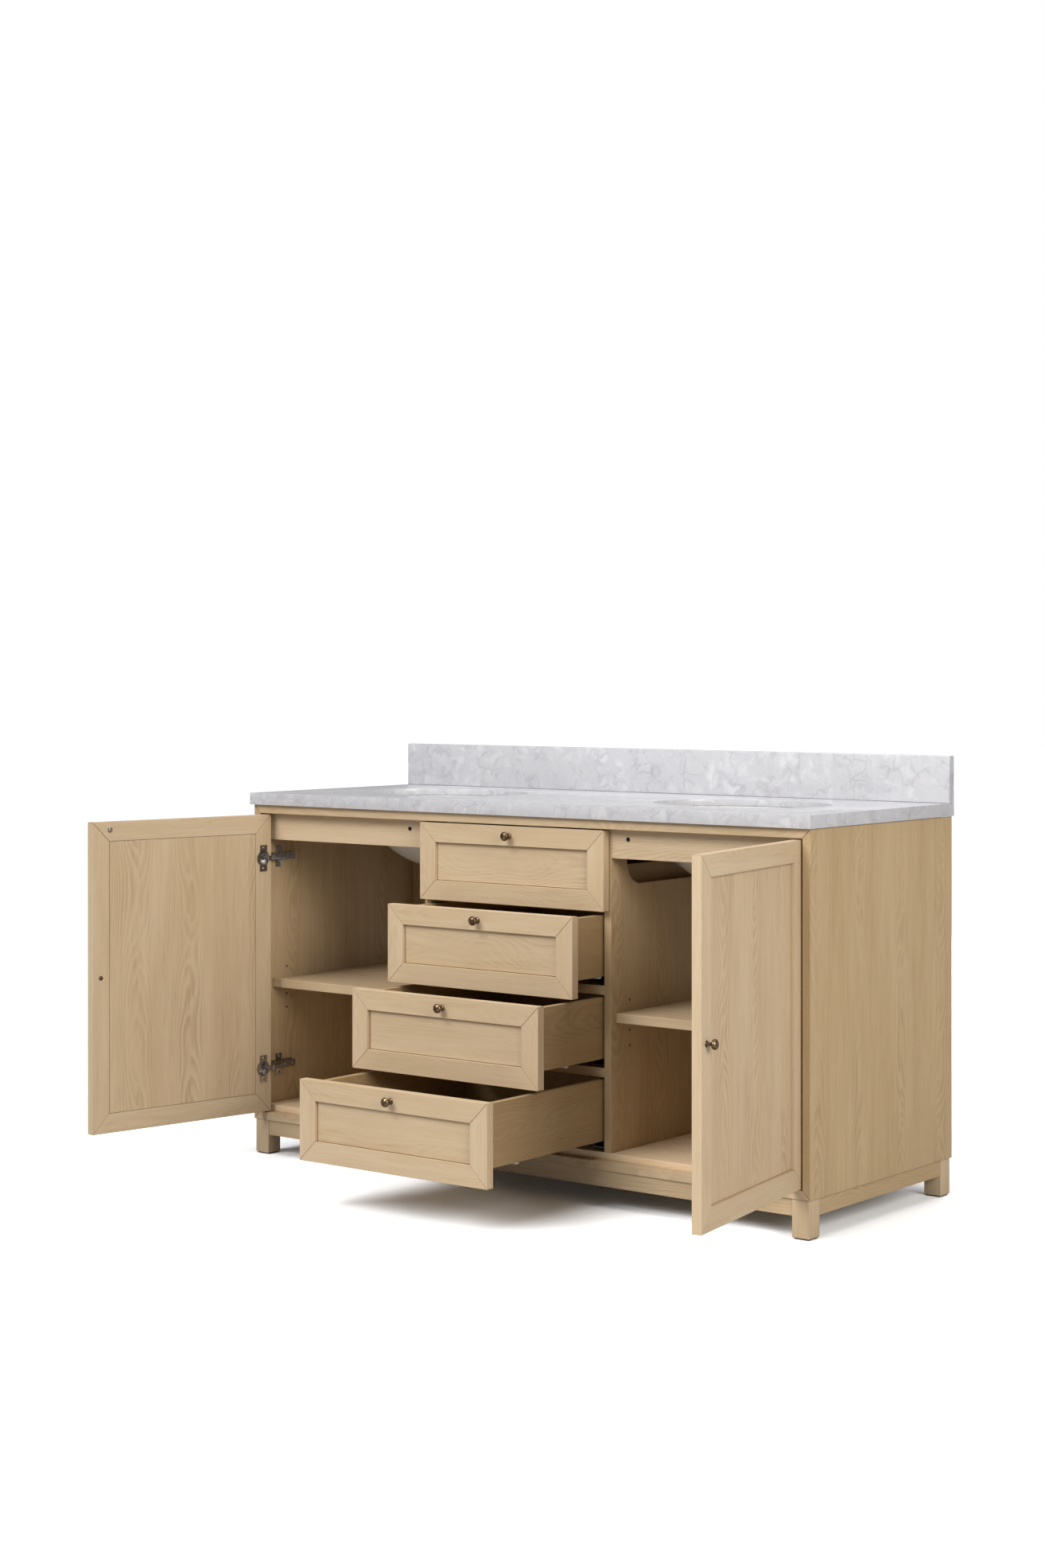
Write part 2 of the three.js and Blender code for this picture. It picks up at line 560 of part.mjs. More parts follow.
// An oval bowl: one section, turned about the drain and stretched to the oval.
function basin(x, y) {
  const steps = 10;
  const turns = [...Array(steps + 1).keys()].map((i) => (i * Math.PI) / 2 / steps);
  const rim = BASIN_HALF_DEPTH + BASIN_RIM_WIDTH;
  const inside = turns.map((t) => [BASIN_HALF_DEPTH * Math.cos(t), -BASIN_DEPTH * Math.sin(t)]);
  const outerDepth = BASIN_DEPTH + BASIN_WALL;
  const outside = turns.map((t) => [bowlHalfDepth * Math.cos(t), -outerDepth * Math.sin(t)])
    .filter(([, h]) => h < -BASIN_RIM_THICKNESS);
  const profile = [...outside.reverse(), [bowlHalfDepth, -BASIN_RIM_THICKNESS],
    [rim, -BASIN_RIM_THICKNESS], [rim, 0], ...inside];
  profile[0] = [0, profile[0][1]];
  profile[profile.length - 1] = [0, -BASIN_DEPTH];
  const bowl = new THREE.LatheGeometry(profile.map(([r, h]) => new THREE.Vector2(r, h)), ROUND_STEPS);
  bowl.rotateX(Math.PI / 2);
  bowl.scale(basinStretch, 1, 1);
  bowl.translate(x, y, slabUnderside);
  const drain = alongZ(outline(ellipse(x, y, DRAIN_RADIUS, DRAIN_RADIUS, HOLE_STEPS)),
    slabUnderside - 2 * BASIN_DEPTH, slabUnderside);
  return cut(bowl, drain);
}

const vanity = new THREE.Group();
vanity.position.y = -ORIGIN_BEHIND_FRONT;
addBase(vanity);
addCase(vanity);
for (let i = 0; i < DRAWER_COUNT; i++) {
  addDrawer(vanity, i);
}
for (const [side, s] of SIDES) {
  addDoor(vanity, side, s);
}
addTop(vanity);

export default vanity;
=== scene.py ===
import itertools
import json
import math

import bmesh
import bpy
from bpy.props import FloatProperty, FloatVectorProperty, IntProperty, PointerProperty
from mathutils import Matrix, Vector


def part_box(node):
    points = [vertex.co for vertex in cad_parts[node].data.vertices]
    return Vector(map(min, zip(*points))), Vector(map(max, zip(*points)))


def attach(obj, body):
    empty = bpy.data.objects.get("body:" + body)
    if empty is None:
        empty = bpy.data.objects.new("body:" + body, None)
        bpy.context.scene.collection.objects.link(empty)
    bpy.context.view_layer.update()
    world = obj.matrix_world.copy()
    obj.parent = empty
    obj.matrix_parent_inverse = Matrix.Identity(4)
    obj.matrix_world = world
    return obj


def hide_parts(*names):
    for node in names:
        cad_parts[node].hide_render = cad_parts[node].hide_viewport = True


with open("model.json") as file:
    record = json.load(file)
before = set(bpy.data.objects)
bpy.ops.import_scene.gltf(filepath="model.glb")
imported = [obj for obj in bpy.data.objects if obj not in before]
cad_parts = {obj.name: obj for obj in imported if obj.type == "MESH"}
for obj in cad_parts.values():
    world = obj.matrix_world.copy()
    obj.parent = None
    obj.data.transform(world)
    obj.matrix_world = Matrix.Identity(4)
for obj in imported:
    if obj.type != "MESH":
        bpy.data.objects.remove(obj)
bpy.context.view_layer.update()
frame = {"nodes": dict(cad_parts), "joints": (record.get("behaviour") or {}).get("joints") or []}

bl_info = {
    "name": "Bathroom Vanity Builder",
    "version": (1, 0, 0),
    "blender": (4, 5, 0),
    "location": "3D View > Sidebar > Vanity",
    "description": "Builds an oak double-basin vanity with framed doors, drawers and a marble top",
    "category": "Add Mesh",
}

JOINTS = {joint["child"]: joint for joint in frame["joints"]}
SIDES = (("left", -1), ("right", 1))
LEVELS = ("lower", "upper")
DRAWERS = (1, 2, 3, 4)
MM = 0.001


# ---- Settings ----
def length(name, text, default, low=0.0, high=1.0):
    return FloatProperty(name=name, description=text, default=default, min=low, max=high, unit="LENGTH",
                         precision=4)


def colour(name, text, default):
    return FloatVectorProperty(name=name, description=text, default=default, size=3, subtype="COLOR",
                               min=0.0, max=1.0)


def watts(name, text, default):
    return FloatProperty(name=name, description=text, default=default, min=0.0, unit="POWER")


class VanityJoinery(bpy.types.PropertyGroup):
    frame_face: length("Frame width", "Width of the stiles and rails of a door or drawer front", 43 * MM)
    panel_recess: length("Panel recess", "How far a panel lies behind its frame", 8 * MM)
    mitre_gap: length("Mitre gap", "Open line between two mitred pieces", 0.5 * MM)
    panel_gap: length("Panel gap", "Open line round a panel", 0.9 * MM)
    edge_ease: length("Eased edge", "Width of the rounding on a board's edges", 0.9 * MM)
    box_wall: length("Drawer side", "Thickness of the sides of a drawer box", 14 * MM)
    box_bottom: length("Drawer bottom", "Thickness of the bottom of a drawer box", 8 * MM)
    box_bottom_lift: length("Bottom lift", "Height of the drawer bottom above the sides' lower edges", 12 * MM)
    pin_pitch: length("Pin pitch", "Distance between the holes for the shelf pins", 32 * MM)


class VanityTimber(bpy.types.PropertyGroup):
    light: colour("Oak, light", "The pale wood between the growth rings", (0.590, 0.455, 0.305))
    warm: colour("Oak, warm", "The warmer wood of the slow changes of tone", (0.530, 0.390, 0.240))
    dark: colour("Oak, dark", "The darker wood along the growth rings", (0.400, 0.265, 0.145))
    pore: colour("Oak, pores", "The fine open pores", (0.240, 0.155, 0.085))


class VanityStone(bpy.types.PropertyGroup):
    ground: colour("Marble ground", "The main colour of the marble", (0.460, 0.457, 0.478))
    cloud: colour("Marble clouds", "The paler patches of the marble", (0.580, 0.577, 0.596))
    vein: colour("Marble veins", "The grey veins of the marble", (0.300, 0.300, 0.322))
    edge_ease: length("Stone edge", "Width of the rounding on the stone's edges", 1.5 * MM)


class VanityFittings(bpy.types.PropertyGroup):
    bronze: colour("Bronze", "The dark bronze of the knobs", (0.110, 0.070, 0.042))
    bronze_worn: colour("Worn bronze", "Bronze rubbed bright", (0.310, 0.215, 0.125))
    nickel: colour("Nickel", "The plating of the hinges", (0.520, 0.500, 0.480))
    # Dark plating of the slides, made near black to paint the shade in the slot under the drawer boxes.
    zinc_with_painted_shade: colour("Zinc", "The dark zinc plating of the slides", (0.075, 0.075, 0.078))
    glaze: colour("Glaze", "The white glaze of the basins", (0.600, 0.600, 0.592))
    basin_depth: length("Basin depth", "Depth of a basin's bowl", 155 * MM)
    basin_wall: length("Basin wall", "Thickness of a basin's bowl", 10 * MM)
    rim_width: length("Basin rim", "Width of the flat rim round a basin", 34 * MM)
    rim_thickness: length("Rim thickness", "Thickness of a basin's rim", 12 * MM)
    drain_radius: length("Drain radius", "Radius of the hole in a basin", 22.95 * MM)
    knob_steps: IntProperty(name="Knob steps", description="Faces round a knob", default=48, min=12, max=96)


class VanityStage(bpy.types.PropertyGroup):
    sky: FloatProperty(name="Sky", description="Strength of the even light from all round", default=0.29)
    key: FloatProperty(name="Key", description="Strength of the broad light at the front left", default=2.3)
    fill: watts("Fill", "Power of the soft light at the right", 234.0)
    overhead: watts("Overhead", "Power of the soft light above", 48.0)
    rear: watts("Rear", "Power of the soft light behind", 60.0)
    floor: colour("Floor", "The colour of the floor", (0.45, 0.45, 0.455))


def settings(name):
    return getattr(bpy.context.scene, "vanity_" + name)


# ---- Materials ----
def new_group(name, outputs, **inputs):
    """A shader node group that takes a vector and numbers and puts out numbers, and its two ends."""
    group = bpy.data.node_groups.new(name, "ShaderNodeTree")
    group.interface.new_socket(name="Vector", in_out="INPUT", socket_type="NodeSocketVector")
    for label, value in inputs.items():
        socket = group.interface.new_socket(name=label, in_out="INPUT", socket_type="NodeSocketFloat")
        socket.default_value = value
    for label in outputs:
        group.interface.new_socket(name=label, in_out="OUTPUT", socket_type="NodeSocketFloat")
    return group, group.nodes.new("NodeGroupInput").outputs, group.nodes.new("NodeGroupOutput").inputs


def feed(tree, sockets, values):
    """Links a socket to each socket that is named, or writes a plain value in it."""
    for key, value in values.items():
        if isinstance(value, bpy.types.NodeSocket):
            tree.links.new(value, sockets[key])
        else:
            sockets[key].default_value = value


def add_node(tree, kind, feeds=(), **attributes):
    """A shader node with its attributes, and what goes in its inputs, by name or by number."""
    made = tree.nodes.new("ShaderNode" + kind)
    for key, value in attributes.items():
        setattr(made, key, value)
    feed(tree, made.inputs, dict(feeds))
    return made


def maths(tree, operation, *values):
    return add_node(tree, "Math", enumerate(values), operation=operation).outputs[0]


def vector_maths(tree, operation, vector, second):
    feeds = {0: vector, "Scale" if operation == "SCALE" else 1: second}
    return add_node(tree, "VectorMath", feeds, operation=operation).outputs[0]


def noise(tree, vector, scale, detail=3.0, roughness=0.5, output="Fac"):
    feeds = {"Vector": vector, "Scale": scale, "Detail": detail, "Roughness": roughness}
    return add_node(tree, "TexNoise", feeds).outputs[output]


def smooth_between(tree, value, low, high, to_low=0.0, to_high=1.0):
    feeds = enumerate((value, low, high, to_low, to_high))
    return add_node(tree, "MapRange", feeds, interpolation_type="SMOOTHSTEP").outputs[0]


def mixed(tree, factor, first, second):
    """One colour mixed with another. A Mix node's colours are its inputs 6 and 7 and its output 2."""
    return add_node(tree, "Mix", {0: factor, 6: first, 7: second}, data_type="RGBA").outputs[2]


def oak_figure_group():
    """Growth rings of flat-cut leaves, pores, streaks and slow changes of tone. X of the vector runs along
    the grain, Y across the face and Z into the board, in metres."""
    group, start, end = new_group("oak_figure", ("Rings", "Pores", "Tone", "Height"), Leaf=0.075, Ring=0.0036,
                                  Figure=1.0, Pores=1.0)
    vector = start["Vector"]
    along, across, deep = add_node(group, "SeparateXYZ", {0: vector}).outputs

    def grained(along_scale, across_scale, detail=2.0, roughness=0.5):
        scales = (along_scale, across_scale, across_scale)
        return noise(group, vector_maths(group, "MULTIPLY", vector, scales), 1.0, detail, roughness)

    def times(first, second):
        return maths(group, "MULTIPLY", first, second)

    wander = grained(1.3, 5.0)
    ripple = grained(9.0, 30.0)
    sway = maths(group, "MULTIPLY_ADD", wander, 0.026, -0.013)
    sway = maths(group, "MULTIPLY_ADD", ripple, 0.0014, sway)
    bent = maths(group, "ADD", across, sway)

    leaf = start["Leaf"]
    folded = maths(group, "PINGPONG", bent, leaf)
    which = maths(group, "FLOOR", maths(group, "DIVIDE", bent, times(leaf, 2.0)))
    spread = add_node(group, "CombineXYZ", {0: times(along, 1.9), 1: times(which, 3.7)})
    heart = noise(group, spread.outputs[0], 1.0, 2.0, 0.45)
    heart = maths(group, "MULTIPLY_ADD", heart, 0.130, 0.005)
    heart = maths(group, "MULTIPLY_ADD", deep, 0.9, heart)
    reach = maths(group, "ADD", times(folded, folded), times(heart, heart))
    radius = maths(group, "SQRT", reach)
    uneven = grained(3.0, 26.0, 3.0)
    turns = maths(group, "ADD", maths(group, "DIVIDE", radius, start["Ring"]), times(uneven, 0.6))
    ring = maths(group, "FRACT", turns)
    rise = smooth_between(group, ring, 0.0, 0.72)
    fall = smooth_between(group, ring, 0.78, 1.0, 1.0, 0.0)
    band = times(rise, fall)
    strength = grained(2.0, 14.0)
    band = times(band, smooth_between(group, strength, 0.38, 0.66, 0.18, 1.0))
    band = times(band, start["Figure"])

    streak = grained(13.0, 720.0, 2.0, 0.6)
    pores = smooth_between(group, streak, 0.50, 0.72)
    wide = grained(4.5, 170.0, 3.0, 0.62)
    pores = maths(group, "MULTIPLY_ADD", smooth_between(group, wide, 0.46, 0.74), 0.50, pores)
    favour = maths(group, "MULTIPLY_ADD", band, 0.9, 0.45)
    pores = times(times(pores, favour), start["Pores"])

    tone = grained(1.2, 6.0, 3.0)
    fleck = grained(6.0, 70.0)
    tone = maths(group, "MULTIPLY_ADD", fleck, 0.45, times(tone, 0.70))
    height = maths(group, "MULTIPLY_ADD", pores, -1.0, times(band, -0.25))
    feed(group, end, {"Rings": band, "Pores": pores, "Tone": tone, "Height": height})
    return group


def marble_group():
    """Soft clouds and broken grey veins. The vector is in metres."""
    group, start, end = new_group("marble_clouds", ("Clouds", "Veins"), Scale=1.0)
    vector = vector_maths(group, "SCALE", start["Vector"], start["Scale"])
    warp = noise(group, vector, 15.0, 5.0, output="Color")
    bent = vector_maths(group, "ADD", vector, vector_maths(group, "SCALE", warp, 0.095))

    cells = add_node(group, "TexVoronoi", {"Vector": bent, "Scale": 36.0, "Smoothness": 0.30}, feature="SMOOTH_F1")
    patch = smooth_between(group, cells.outputs["Distance"], 0.18, 0.62, 1.0, 0.0)
    broad = noise(group, bent, 9.0, 4.0, 0.55)
    fine = noise(group, bent, 95.0, 4.0, 0.65)
    clouds = maths(group, "MULTIPLY", patch, smooth_between(group, broad, 0.36, 0.66))
    clouds = maths(group, "MULTIPLY_ADD", fine, 0.45, maths(group, "MULTIPLY", clouds, 0.75))

    edges = add_node(group, "TexVoronoi", {"Vector": bent, "Scale": 25.0}, feature="DISTANCE_TO_EDGE")
    thin = smooth_between(group, edges.outputs["Distance"], 0.0, 0.10, 1.0, 0.0)
    broken = smooth_between(group, noise(group, vector, 16.0, 3.0), 0.42, 0.64)
    smear = smooth_between(group, noise(group, bent, 34.0, 5.0, 0.65), 0.50, 0.74)
    veins = maths(group, "MULTIPLY_ADD", maths(group, "MULTIPLY", thin, broken), 0.40,
                  maths(group, "MULTIPLY", smear, 0.42))
    feed(group, end, {"Clouds": clouds, "Veins": veins})
    return group


def patina_group():
    """Uneven rubbing and fine marks on metal, and the fine unevenness of moulded or glazed faces."""
    group, start, end = new_group("surface_wear", ("Rubbed", "Marks"), Scale=1.0)
    vector = vector_maths(group, "SCALE", start["Vector"], start["Scale"])
    rubbed = smooth_between(group, noise(group, vector, 120.0, 4.0, 0.6), 0.42, 0.70)
    marks = noise(group, vector_maths(group, "MULTIPLY", vector, (900.0, 900.0, 160.0)), 1.0, 3.0, 0.6)
    feed(group, end, {"Rubbed": rubbed, "Marks": marks})
    return group


def new_material(name):
    """A material with its Principled BSDF, and its tree."""
    made = bpy.data.materials.new(name)
    made.use_nodes = True
    return made, made.node_tree, made.node_tree.nodes["Principled BSDF"]


def finish(tree, shader, body, rough, height, distance, strength, **sockets):
    """Feeds a shader its colour, roughness and bump, and writes plain values on its other sockets."""
    bump = add_node(tree, "Bump", {"Distance": distance, "Strength": strength, "Height": height})
    feed(tree, shader.inputs, {"Base Color": body, "Roughness": rough, "Normal": bump.outputs[0]})
    feed(tree, shader.inputs, {label.replace("_", " "): value for label, value in sockets.items()})


def placed_group(tree, group, vector, **values):
    return add_node(tree, "Group", {"Vector": vector, **values}, node_tree=group).outputs


def grain_vector(tree):
    return add_node(tree, "Attribute", attribute_type="GEOMETRY", attribute_name="grain").outputs["Vector"]


def object_vector(tree):
    return add_node(tree, "TexCoord").outputs["Object"]


def seen_by_camera(tree):
    return add_node(tree, "LightPath").outputs["Is Camera Ray"]


def rgba(values, factor=1.0):
    return tuple(value * factor for value in values) + (1.0,)


def oak_material(name, group, stain_and_painted_light, **values):
    """Oak under a clear matt finish. The multiplier tones the colours; on the bay floors it is above one and
    paints light on them. The values set the figure.
    """
    timber = settings("timber")
    made, tree, shader = new_material(name)
    figure = placed_group(tree, group, grain_vector(tree), **values)
    light, warm, dark, pore = (
        rgba(part * share for part, share in zip(wood, stain_and_painted_light))
        for wood in (timber.light, timber.warm, timber.dark, timber.pore))
    toned = mixed(tree, smooth_between(tree, figure["Tone"], 0.36, 0.80), warm, light)
    ringed = mixed(tree, maths(tree, "MULTIPLY", figure["Rings"], 0.46), toned, dark)
    wood = mixed(tree, maths(tree, "MULTIPLY", figure["Pores"], 0.30), ringed, pore)
    rough = smooth_between(tree, figure["Pores"], 0.0, 1.0, 0.52, 0.72)
    finish(tree, shader, wood, rough, figure["Height"], 0.22 * MM, 0.6, Specular_IOR_Level=0.35)
    return made


def marble_material(group):
    stone = settings("stone")
    made, tree, shader = new_material("polished marble")
    figure = placed_group(tree, group, object_vector(tree))
    body = mixed(tree, figure["Clouds"], rgba(stone.ground), rgba(stone.cloud))
    veined = mixed(tree, figure["Veins"], body, rgba(stone.vein))
    rough = smooth_between(tree, figure["Veins"], 0.0, 1.0, 0.22, 0.34)
    finish(tree, shader, veined, rough, figure["Clouds"], 0.05 * MM, 0.4, Specular_IOR_Level=0.5)
    return made


def worn_material(name, group, dull, bright, roughness, scale=1.0, marks=(0.25, 0.75),
                  bump=("Marks", 0.03 * MM, 0.5), **sockets):
    """A metal, plastic or glaze between a dull and a bright colour. The roughness goes from its first value
    to its second over the range of the marks. The bump is the figure it follows, its height and its strength."""
    made, tree, shader = new_material(name)
    wear = placed_group(tree, group, object_vector(tree), Scale=scale)
    body = mixed(tree, wear["Rubbed"], rgba(dull), rgba(bright))
    rough = smooth_between(tree, wear["Marks"], *marks, *roughness)
    figure, height, strength = bump
    finish(tree, shader, body, rough, wear[figure], height, strength, **sockets)
    return made


def metal_material(name, group, dull, bright, roughness, scale=1.0):
    return worn_material(name, group, dull, bright, roughness, scale, Metallic=1.0)


def plastic_material(name, group, values, rough):
    dull, bright = ([value * share for value in values] for share in (0.85, 1.1))
    return worn_material(name, group, dull, bright, (rough - 0.08, rough + 0.08), 2.0, (0.2, 0.8),
                         ("Marks", 0.04 * MM, 0.4))


SURFACES = {}


def surface(name):
    """A material by its short name. All of them are made at the first call."""
    if not SURFACES:
        fittings = settings("fittings")
        figure, clouds, wear = oak_figure_group(), marble_group(), patina_group()
        SURFACES.update({
            "case": oak_material("oak, case", figure, (0.93, 0.92, 0.88), Figure=0.70),
            "side": oak_material("oak, case sides", figure, (0.85, 0.815, 0.72), Figure=0.85, Leaf=0.082),
            # Painted light: the bay floors' oak is multiplied above one, so that they look brighter, as if more
            # light fell into the bays.
            "bay_floor_painted_light": oak_material("oak, bay floors with painted light", figure, (1.38, 1.40, 1.44), Figure=0.70),
            "veneer": oak_material("oak, door panels", figure, (0.97, 0.97, 0.96), Figure=1.0, Leaf=0.070),
            "member": oak_material("oak, framing", figure, (0.97, 0.98, 0.98), Figure=0.35, Leaf=0.05),
            "drawer": oak_material("oak, drawer fronts", figure, (0.97, 0.98, 0.98), Figure=0.55, Leaf=0.06),
            "box": oak_material("oak, drawer boxes", figure, (0.64, 0.58, 0.46), Figure=0.7, Leaf=0.07),
            "marble": marble_material(clouds),
            "glaze": worn_material("white glaze", wear, fittings.glaze, (0.65, 0.65, 0.645), (0.06, 0.12), 0.08,
                                   (0.2, 0.8), ("Rubbed", 0.4 * MM, 0.15), Coat_Weight=0.4),
            "bronze": metal_material("antique bronze", wear, fittings.bronze, fittings.bronze_worn, (0.22, 0.40)),
            "nickel": metal_material("nickel plate", wear, (0.40, 0.385, 0.37), fittings.nickel, (0.18, 0.34)),
            # The slides' metal: dark plating, darker still as painted shade of the slot under the boxes.
            "zinc_with_painted_shade": metal_material("zinc plate", wear, fittings.zinc_with_painted_shade, (0.13, 0.13, 0.13), (0.30, 0.46), 0.6),
            "black": plastic_material("black plastic and painted hole shade", wear, (0.018, 0.018, 0.019), 0.45),
            "sealant": plastic_material("grey sealant", wear, (0.13, 0.13, 0.14), 0.50),
            "grey": plastic_material("grey plastic", wear, (0.48, 0.48, 0.47), 0.42),
        })
    return SURFACES[name]


# ---- Mesh building ----
def box_of(name):
    """Lowest and highest corners of a CAD node, as two lists."""
    low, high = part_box(name)
    return list(low), list(high)


def corner(body, flat, axis, level):
    """A vertex from its two coordinates in a plane, and its level along the axis across that plane."""
    place = [*flat]
    place.insert(axis, level)
    return body.verts.new(place)


def prism(outline, axis, low, high):
    """A closed body: an outline of (first, second) points, carried along the axis. The outline's two
    coordinates are the other axes in the order X, Y, Z."""
    body = bmesh.new()
    bottom, top = ([corner(body, point, axis, level) for point in outline] for level in (low, high))
    body.faces.new(bottom)
    body.faces.new(top)
    for index in range(len(outline)):
        after = (index + 1) % len(outline)
        body.faces.new((bottom[index], bottom[after], top[after], top[index]))
    bmesh.ops.recalc_face_normals(body, faces=body.faces)
    return body


def slab(low, high):
    """A plain board between two corners, before its edges are eased."""
    x0, x1 = sorted((low[0], high[0]))
    y0, y1 = sorted((low[1], high[1]))
    return prism([(x0, y0), (x1, y0), (x1, y1), (x0, y1)], 2, *sorted((low[2], high[2])))


def cad_copy(name):
    """The CAD solid of a node as a clean mesh, with its flat faces joined up."""
    body = bmesh.new()
    body.from_mesh(frame["nodes"][name].data)
    bmesh.ops.remove_doubles(body, verts=body.verts, dist=0.00002)
    bmesh.ops.dissolve_limit(body, angle_limit=math.radians(0.2), verts=body.verts, edges=body.edges)
    bmesh.ops.recalc_face_normals(body, faces=body.faces)
    return body


def ease(body, width, segments=2, angle=35.0):
    """Rounds every edge sharper than the angle."""
    limit = math.radians(angle)
    sharp = [edge for edge in body.edges if len(edge.link_faces) == 2 and edge.calc_face_angle() > limit]
    bmesh.ops.bevel(body, geom=sharp, offset=width, offset_type="OFFSET", segments=segments, profile=0.5,
                    affect="EDGES", clamp_overlap=True)
    return body


def lathe(profile, steps, axis=2):
    """A body of revolution about the axis, from (radius, height) points that start and end on it."""
    body = bmesh.new()
    turns = [2 * math.pi * step / steps for step in range(steps)]
    rings = []
    for radius, height in profile:
        ring = [(radius * math.cos(turn), radius * math.sin(turn)) for turn in turns]
        if radius < 1e-7:
            ring = [(0.0, 0.0)]
        rings.append([corner(body, point, axis, height) for point in ring])
    for first, second in zip(rings, rings[1:]):
        for step in range(steps):
            after = (step + 1) % steps
            loop = [first[step % len(first)], first[after % len(first)],
                    second[after % len(second)], second[step % len(second)]]
            corners = list(dict.fromkeys(loop))
            if len(corners) > 2:
                body.faces.new(corners)
    bmesh.ops.recalc_face_normals(body, faces=body.faces)
    return body


def rounded_profile(points, steps=4):
    """Points on a smooth curve through the given (radius, height) points."""
    curve = []
    for index in range(len(points) - 1):
        before = points[max(index - 1, 0)]
        first, second = points[index], points[index + 1]
        after = points[min(index + 2, len(points) - 1)]
        for step in range(steps):
            t = step / steps
            place = []
            for a, b, c, d in zip(before, first, second, after):
                place.append(0.5 * (2 * b + (c - a) * t + (2 * a - 5 * b + 4 * c - d) * t * t
                                    + (3 * b - a - 3 * c + d) * t ** 3))
            curve.append((max(place[0], 0.0), place[1]))
    curve.append(points[-1])
    return curve


def moved(body, matrix):
    bmesh.ops.transform(body, matrix=matrix, verts=body.verts)
    return body


def put(body, place):
    """Moves a body from the origin to its place."""
    return moved(body, Matrix.Translation(place))


def rod(radius, low, high, steps, axis, place):
    """A round bar along the axis, from low to high about its place."""
    return put(lathe([(0, low), (radius, low), (radius, high), (0, high)], steps, axis), place)


def spare_mesh(body):
    """A mesh to be thrown away, made from a body that it uses up."""
    mesh = bpy.data.meshes.new("spare")
    body.to_mesh(mesh)
    body.free()
    return mesh


def joined(*bodies):
    """One mesh of several closed bodies."""
    whole, *others = bodies
    for mesh in map(spare_mesh, others):
        whole.from_mesh(mesh)
        bpy.data.meshes.remove(mesh)
    return whole


def bored(body, *tools):
    """The body with the tools cut out of it."""
    objects = [bpy.data.objects.new("spare", spare_mesh(part)) for part in (body, *tools)]
    for made in objects:
        bpy.context.scene.collection.objects.link(made)
    for tool in objects[1:]:
        modifier = objects[0].modifiers.new("cut", "BOOLEAN")
        modifier.operation = "DIFFERENCE"
        modifier.solver = "EXACT"
        modifier.object = tool
    result = bmesh.new()
    result.from_object(objects[0], bpy.context.evaluated_depsgraph_get())
    for made in objects:
        mesh = made.data
        bpy.data.objects.remove(made)
        bpy.data.meshes.remove(mesh)
    return result


GRAIN_AXES = {"X": (0, 2, 1), "Xy": (0, 1, 2), "Yz": (1, 2, 0), "Z": (2, 0, 1), "Zy": (2, 1, 0)}
BOARD_NUMBERS = itertools.count(1)


def board_offset():
    """A new place in the timber for each board, so that no two boards look the same."""
    number = next(BOARD_NUMBERS)
    return (number * 1.737 % 7.0, number * 0.619 % 3.0, 0.0)


def put_grain(mesh, grain, offset):
    """Stores, at each vertex, the distance along the grain, across it and into the board. The grain names
    the axis along it, and the one across it where the face needs that."""
    order = GRAIN_AXES[grain]
    attribute = mesh.attributes.new("grain", "FLOAT_VECTOR", "POINT")
    places = [vertex.co for vertex in mesh.vertices]
    middle = [(min(p[a] for p in places) + max(p[a] for p in places)) / 2 for a in order]
    for item, place in zip(attribute.data, places):
        item.vector = [place[axis] - middle[i] * (i == 2) + offset[i] for i, axis in enumerate(order)]


def add_piece(name, body, rides, look, grain=None, place=None, stands_for=(), smooth=20.0):
    """Makes the object of a piece, gives it its finish, and lets it ride on its CAD body."""
    mesh = bpy.data.meshes.new(name)
    body.to_mesh(mesh)
    body.free()
    if grain:
        put_grain(mesh, grain, board_offset())
    if place:
        mesh.transform(place)
    mesh.materials.append(surface(look))
    mesh.polygons.foreach_set("use_smooth", [True] * len(mesh.polygons))
    mesh.set_sharp_from_angle(angle=math.radians(smooth))
    made = bpy.data.objects.new(name, mesh)
    bpy.context.scene.collection.objects.link(made)
    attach(made, rides)
    if stands_for:
        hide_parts(*stands_for)
    return made


def add_board(name, body, look, grain, *stands_for, slot="case_oak"):
    """A wooden piece that stays on the case."""
    add_piece(name, body, "case", look, grain, stands_for=stands_for)


def middle(low, high, axis):
    """The middle of a box along an axis."""
    return (low[axis] + high[axis]) / 2


# ---- Closed places of the moving pieces ----
def closed_turn(body):
    """The matrix that takes a door from closed to where it rests."""
    joint = JOINTS[body]
    closed = max(joint["range_deg"], key=abs)
    pivot = Matrix.Translation(Vector(joint["pos_m"]))
    return pivot @ Matrix.Rotation(math.radians(-closed), 4, "Z") @ pivot.inverted()


def closed_box(name, body):
    """The box of one of a door's CAD nodes when the door is closed."""
    back = closed_turn(body).inverted()
    places = [back @ vertex.co for vertex in frame["nodes"][name].data.vertices]
    low = [min(p[a] for p in places) for a in range(3)]
    high = [max(p[a] for p in places) for a in range(3)]
    return low, high


# ---- Base and case ----
PIN_INSET = 49 * MM


class VANITY_OT_base(bpy.types.Operator):
    """Four square feet with glides, and the aprons between them"""
    bl_idname = "vanity.base"
    bl_label = "Feet and aprons"

    def execute(self, context):
        ease_by = settings("joinery").edge_ease
        glide_height, glide_inset = 3 * MM, 3 * MM
        for row in ("front", "back"):
            for side, _ in SIDES:
                name = f"foot_{row}_{side}"
                low, high = box_of(name)
                split = low[2] + glide_height
                foot = ease(slab((low[0], low[1], split), high), 1.4 * MM, 3)
                add_board(name + "_post", foot, "member", "Z", name)
                pad = slab((low[0] + glide_inset, low[1] + glide_inset, low[2]),
                           (high[0] - glide_inset, high[1] - glide_inset, split))
                add_piece(name + "_glide", ease(pad, 0.8 * MM), "case", "black")
        for place, look, grain in (("left", "side", "Yz"), ("right", "side", "Yz"), ("front", "case", "X"),
                                   ("back", "case", "X")):
            name = f"apron_{place}"
            add_board(name + "_board", ease(cad_copy(name), ease_by), look, grain, name)
        return {"FINISHED"}


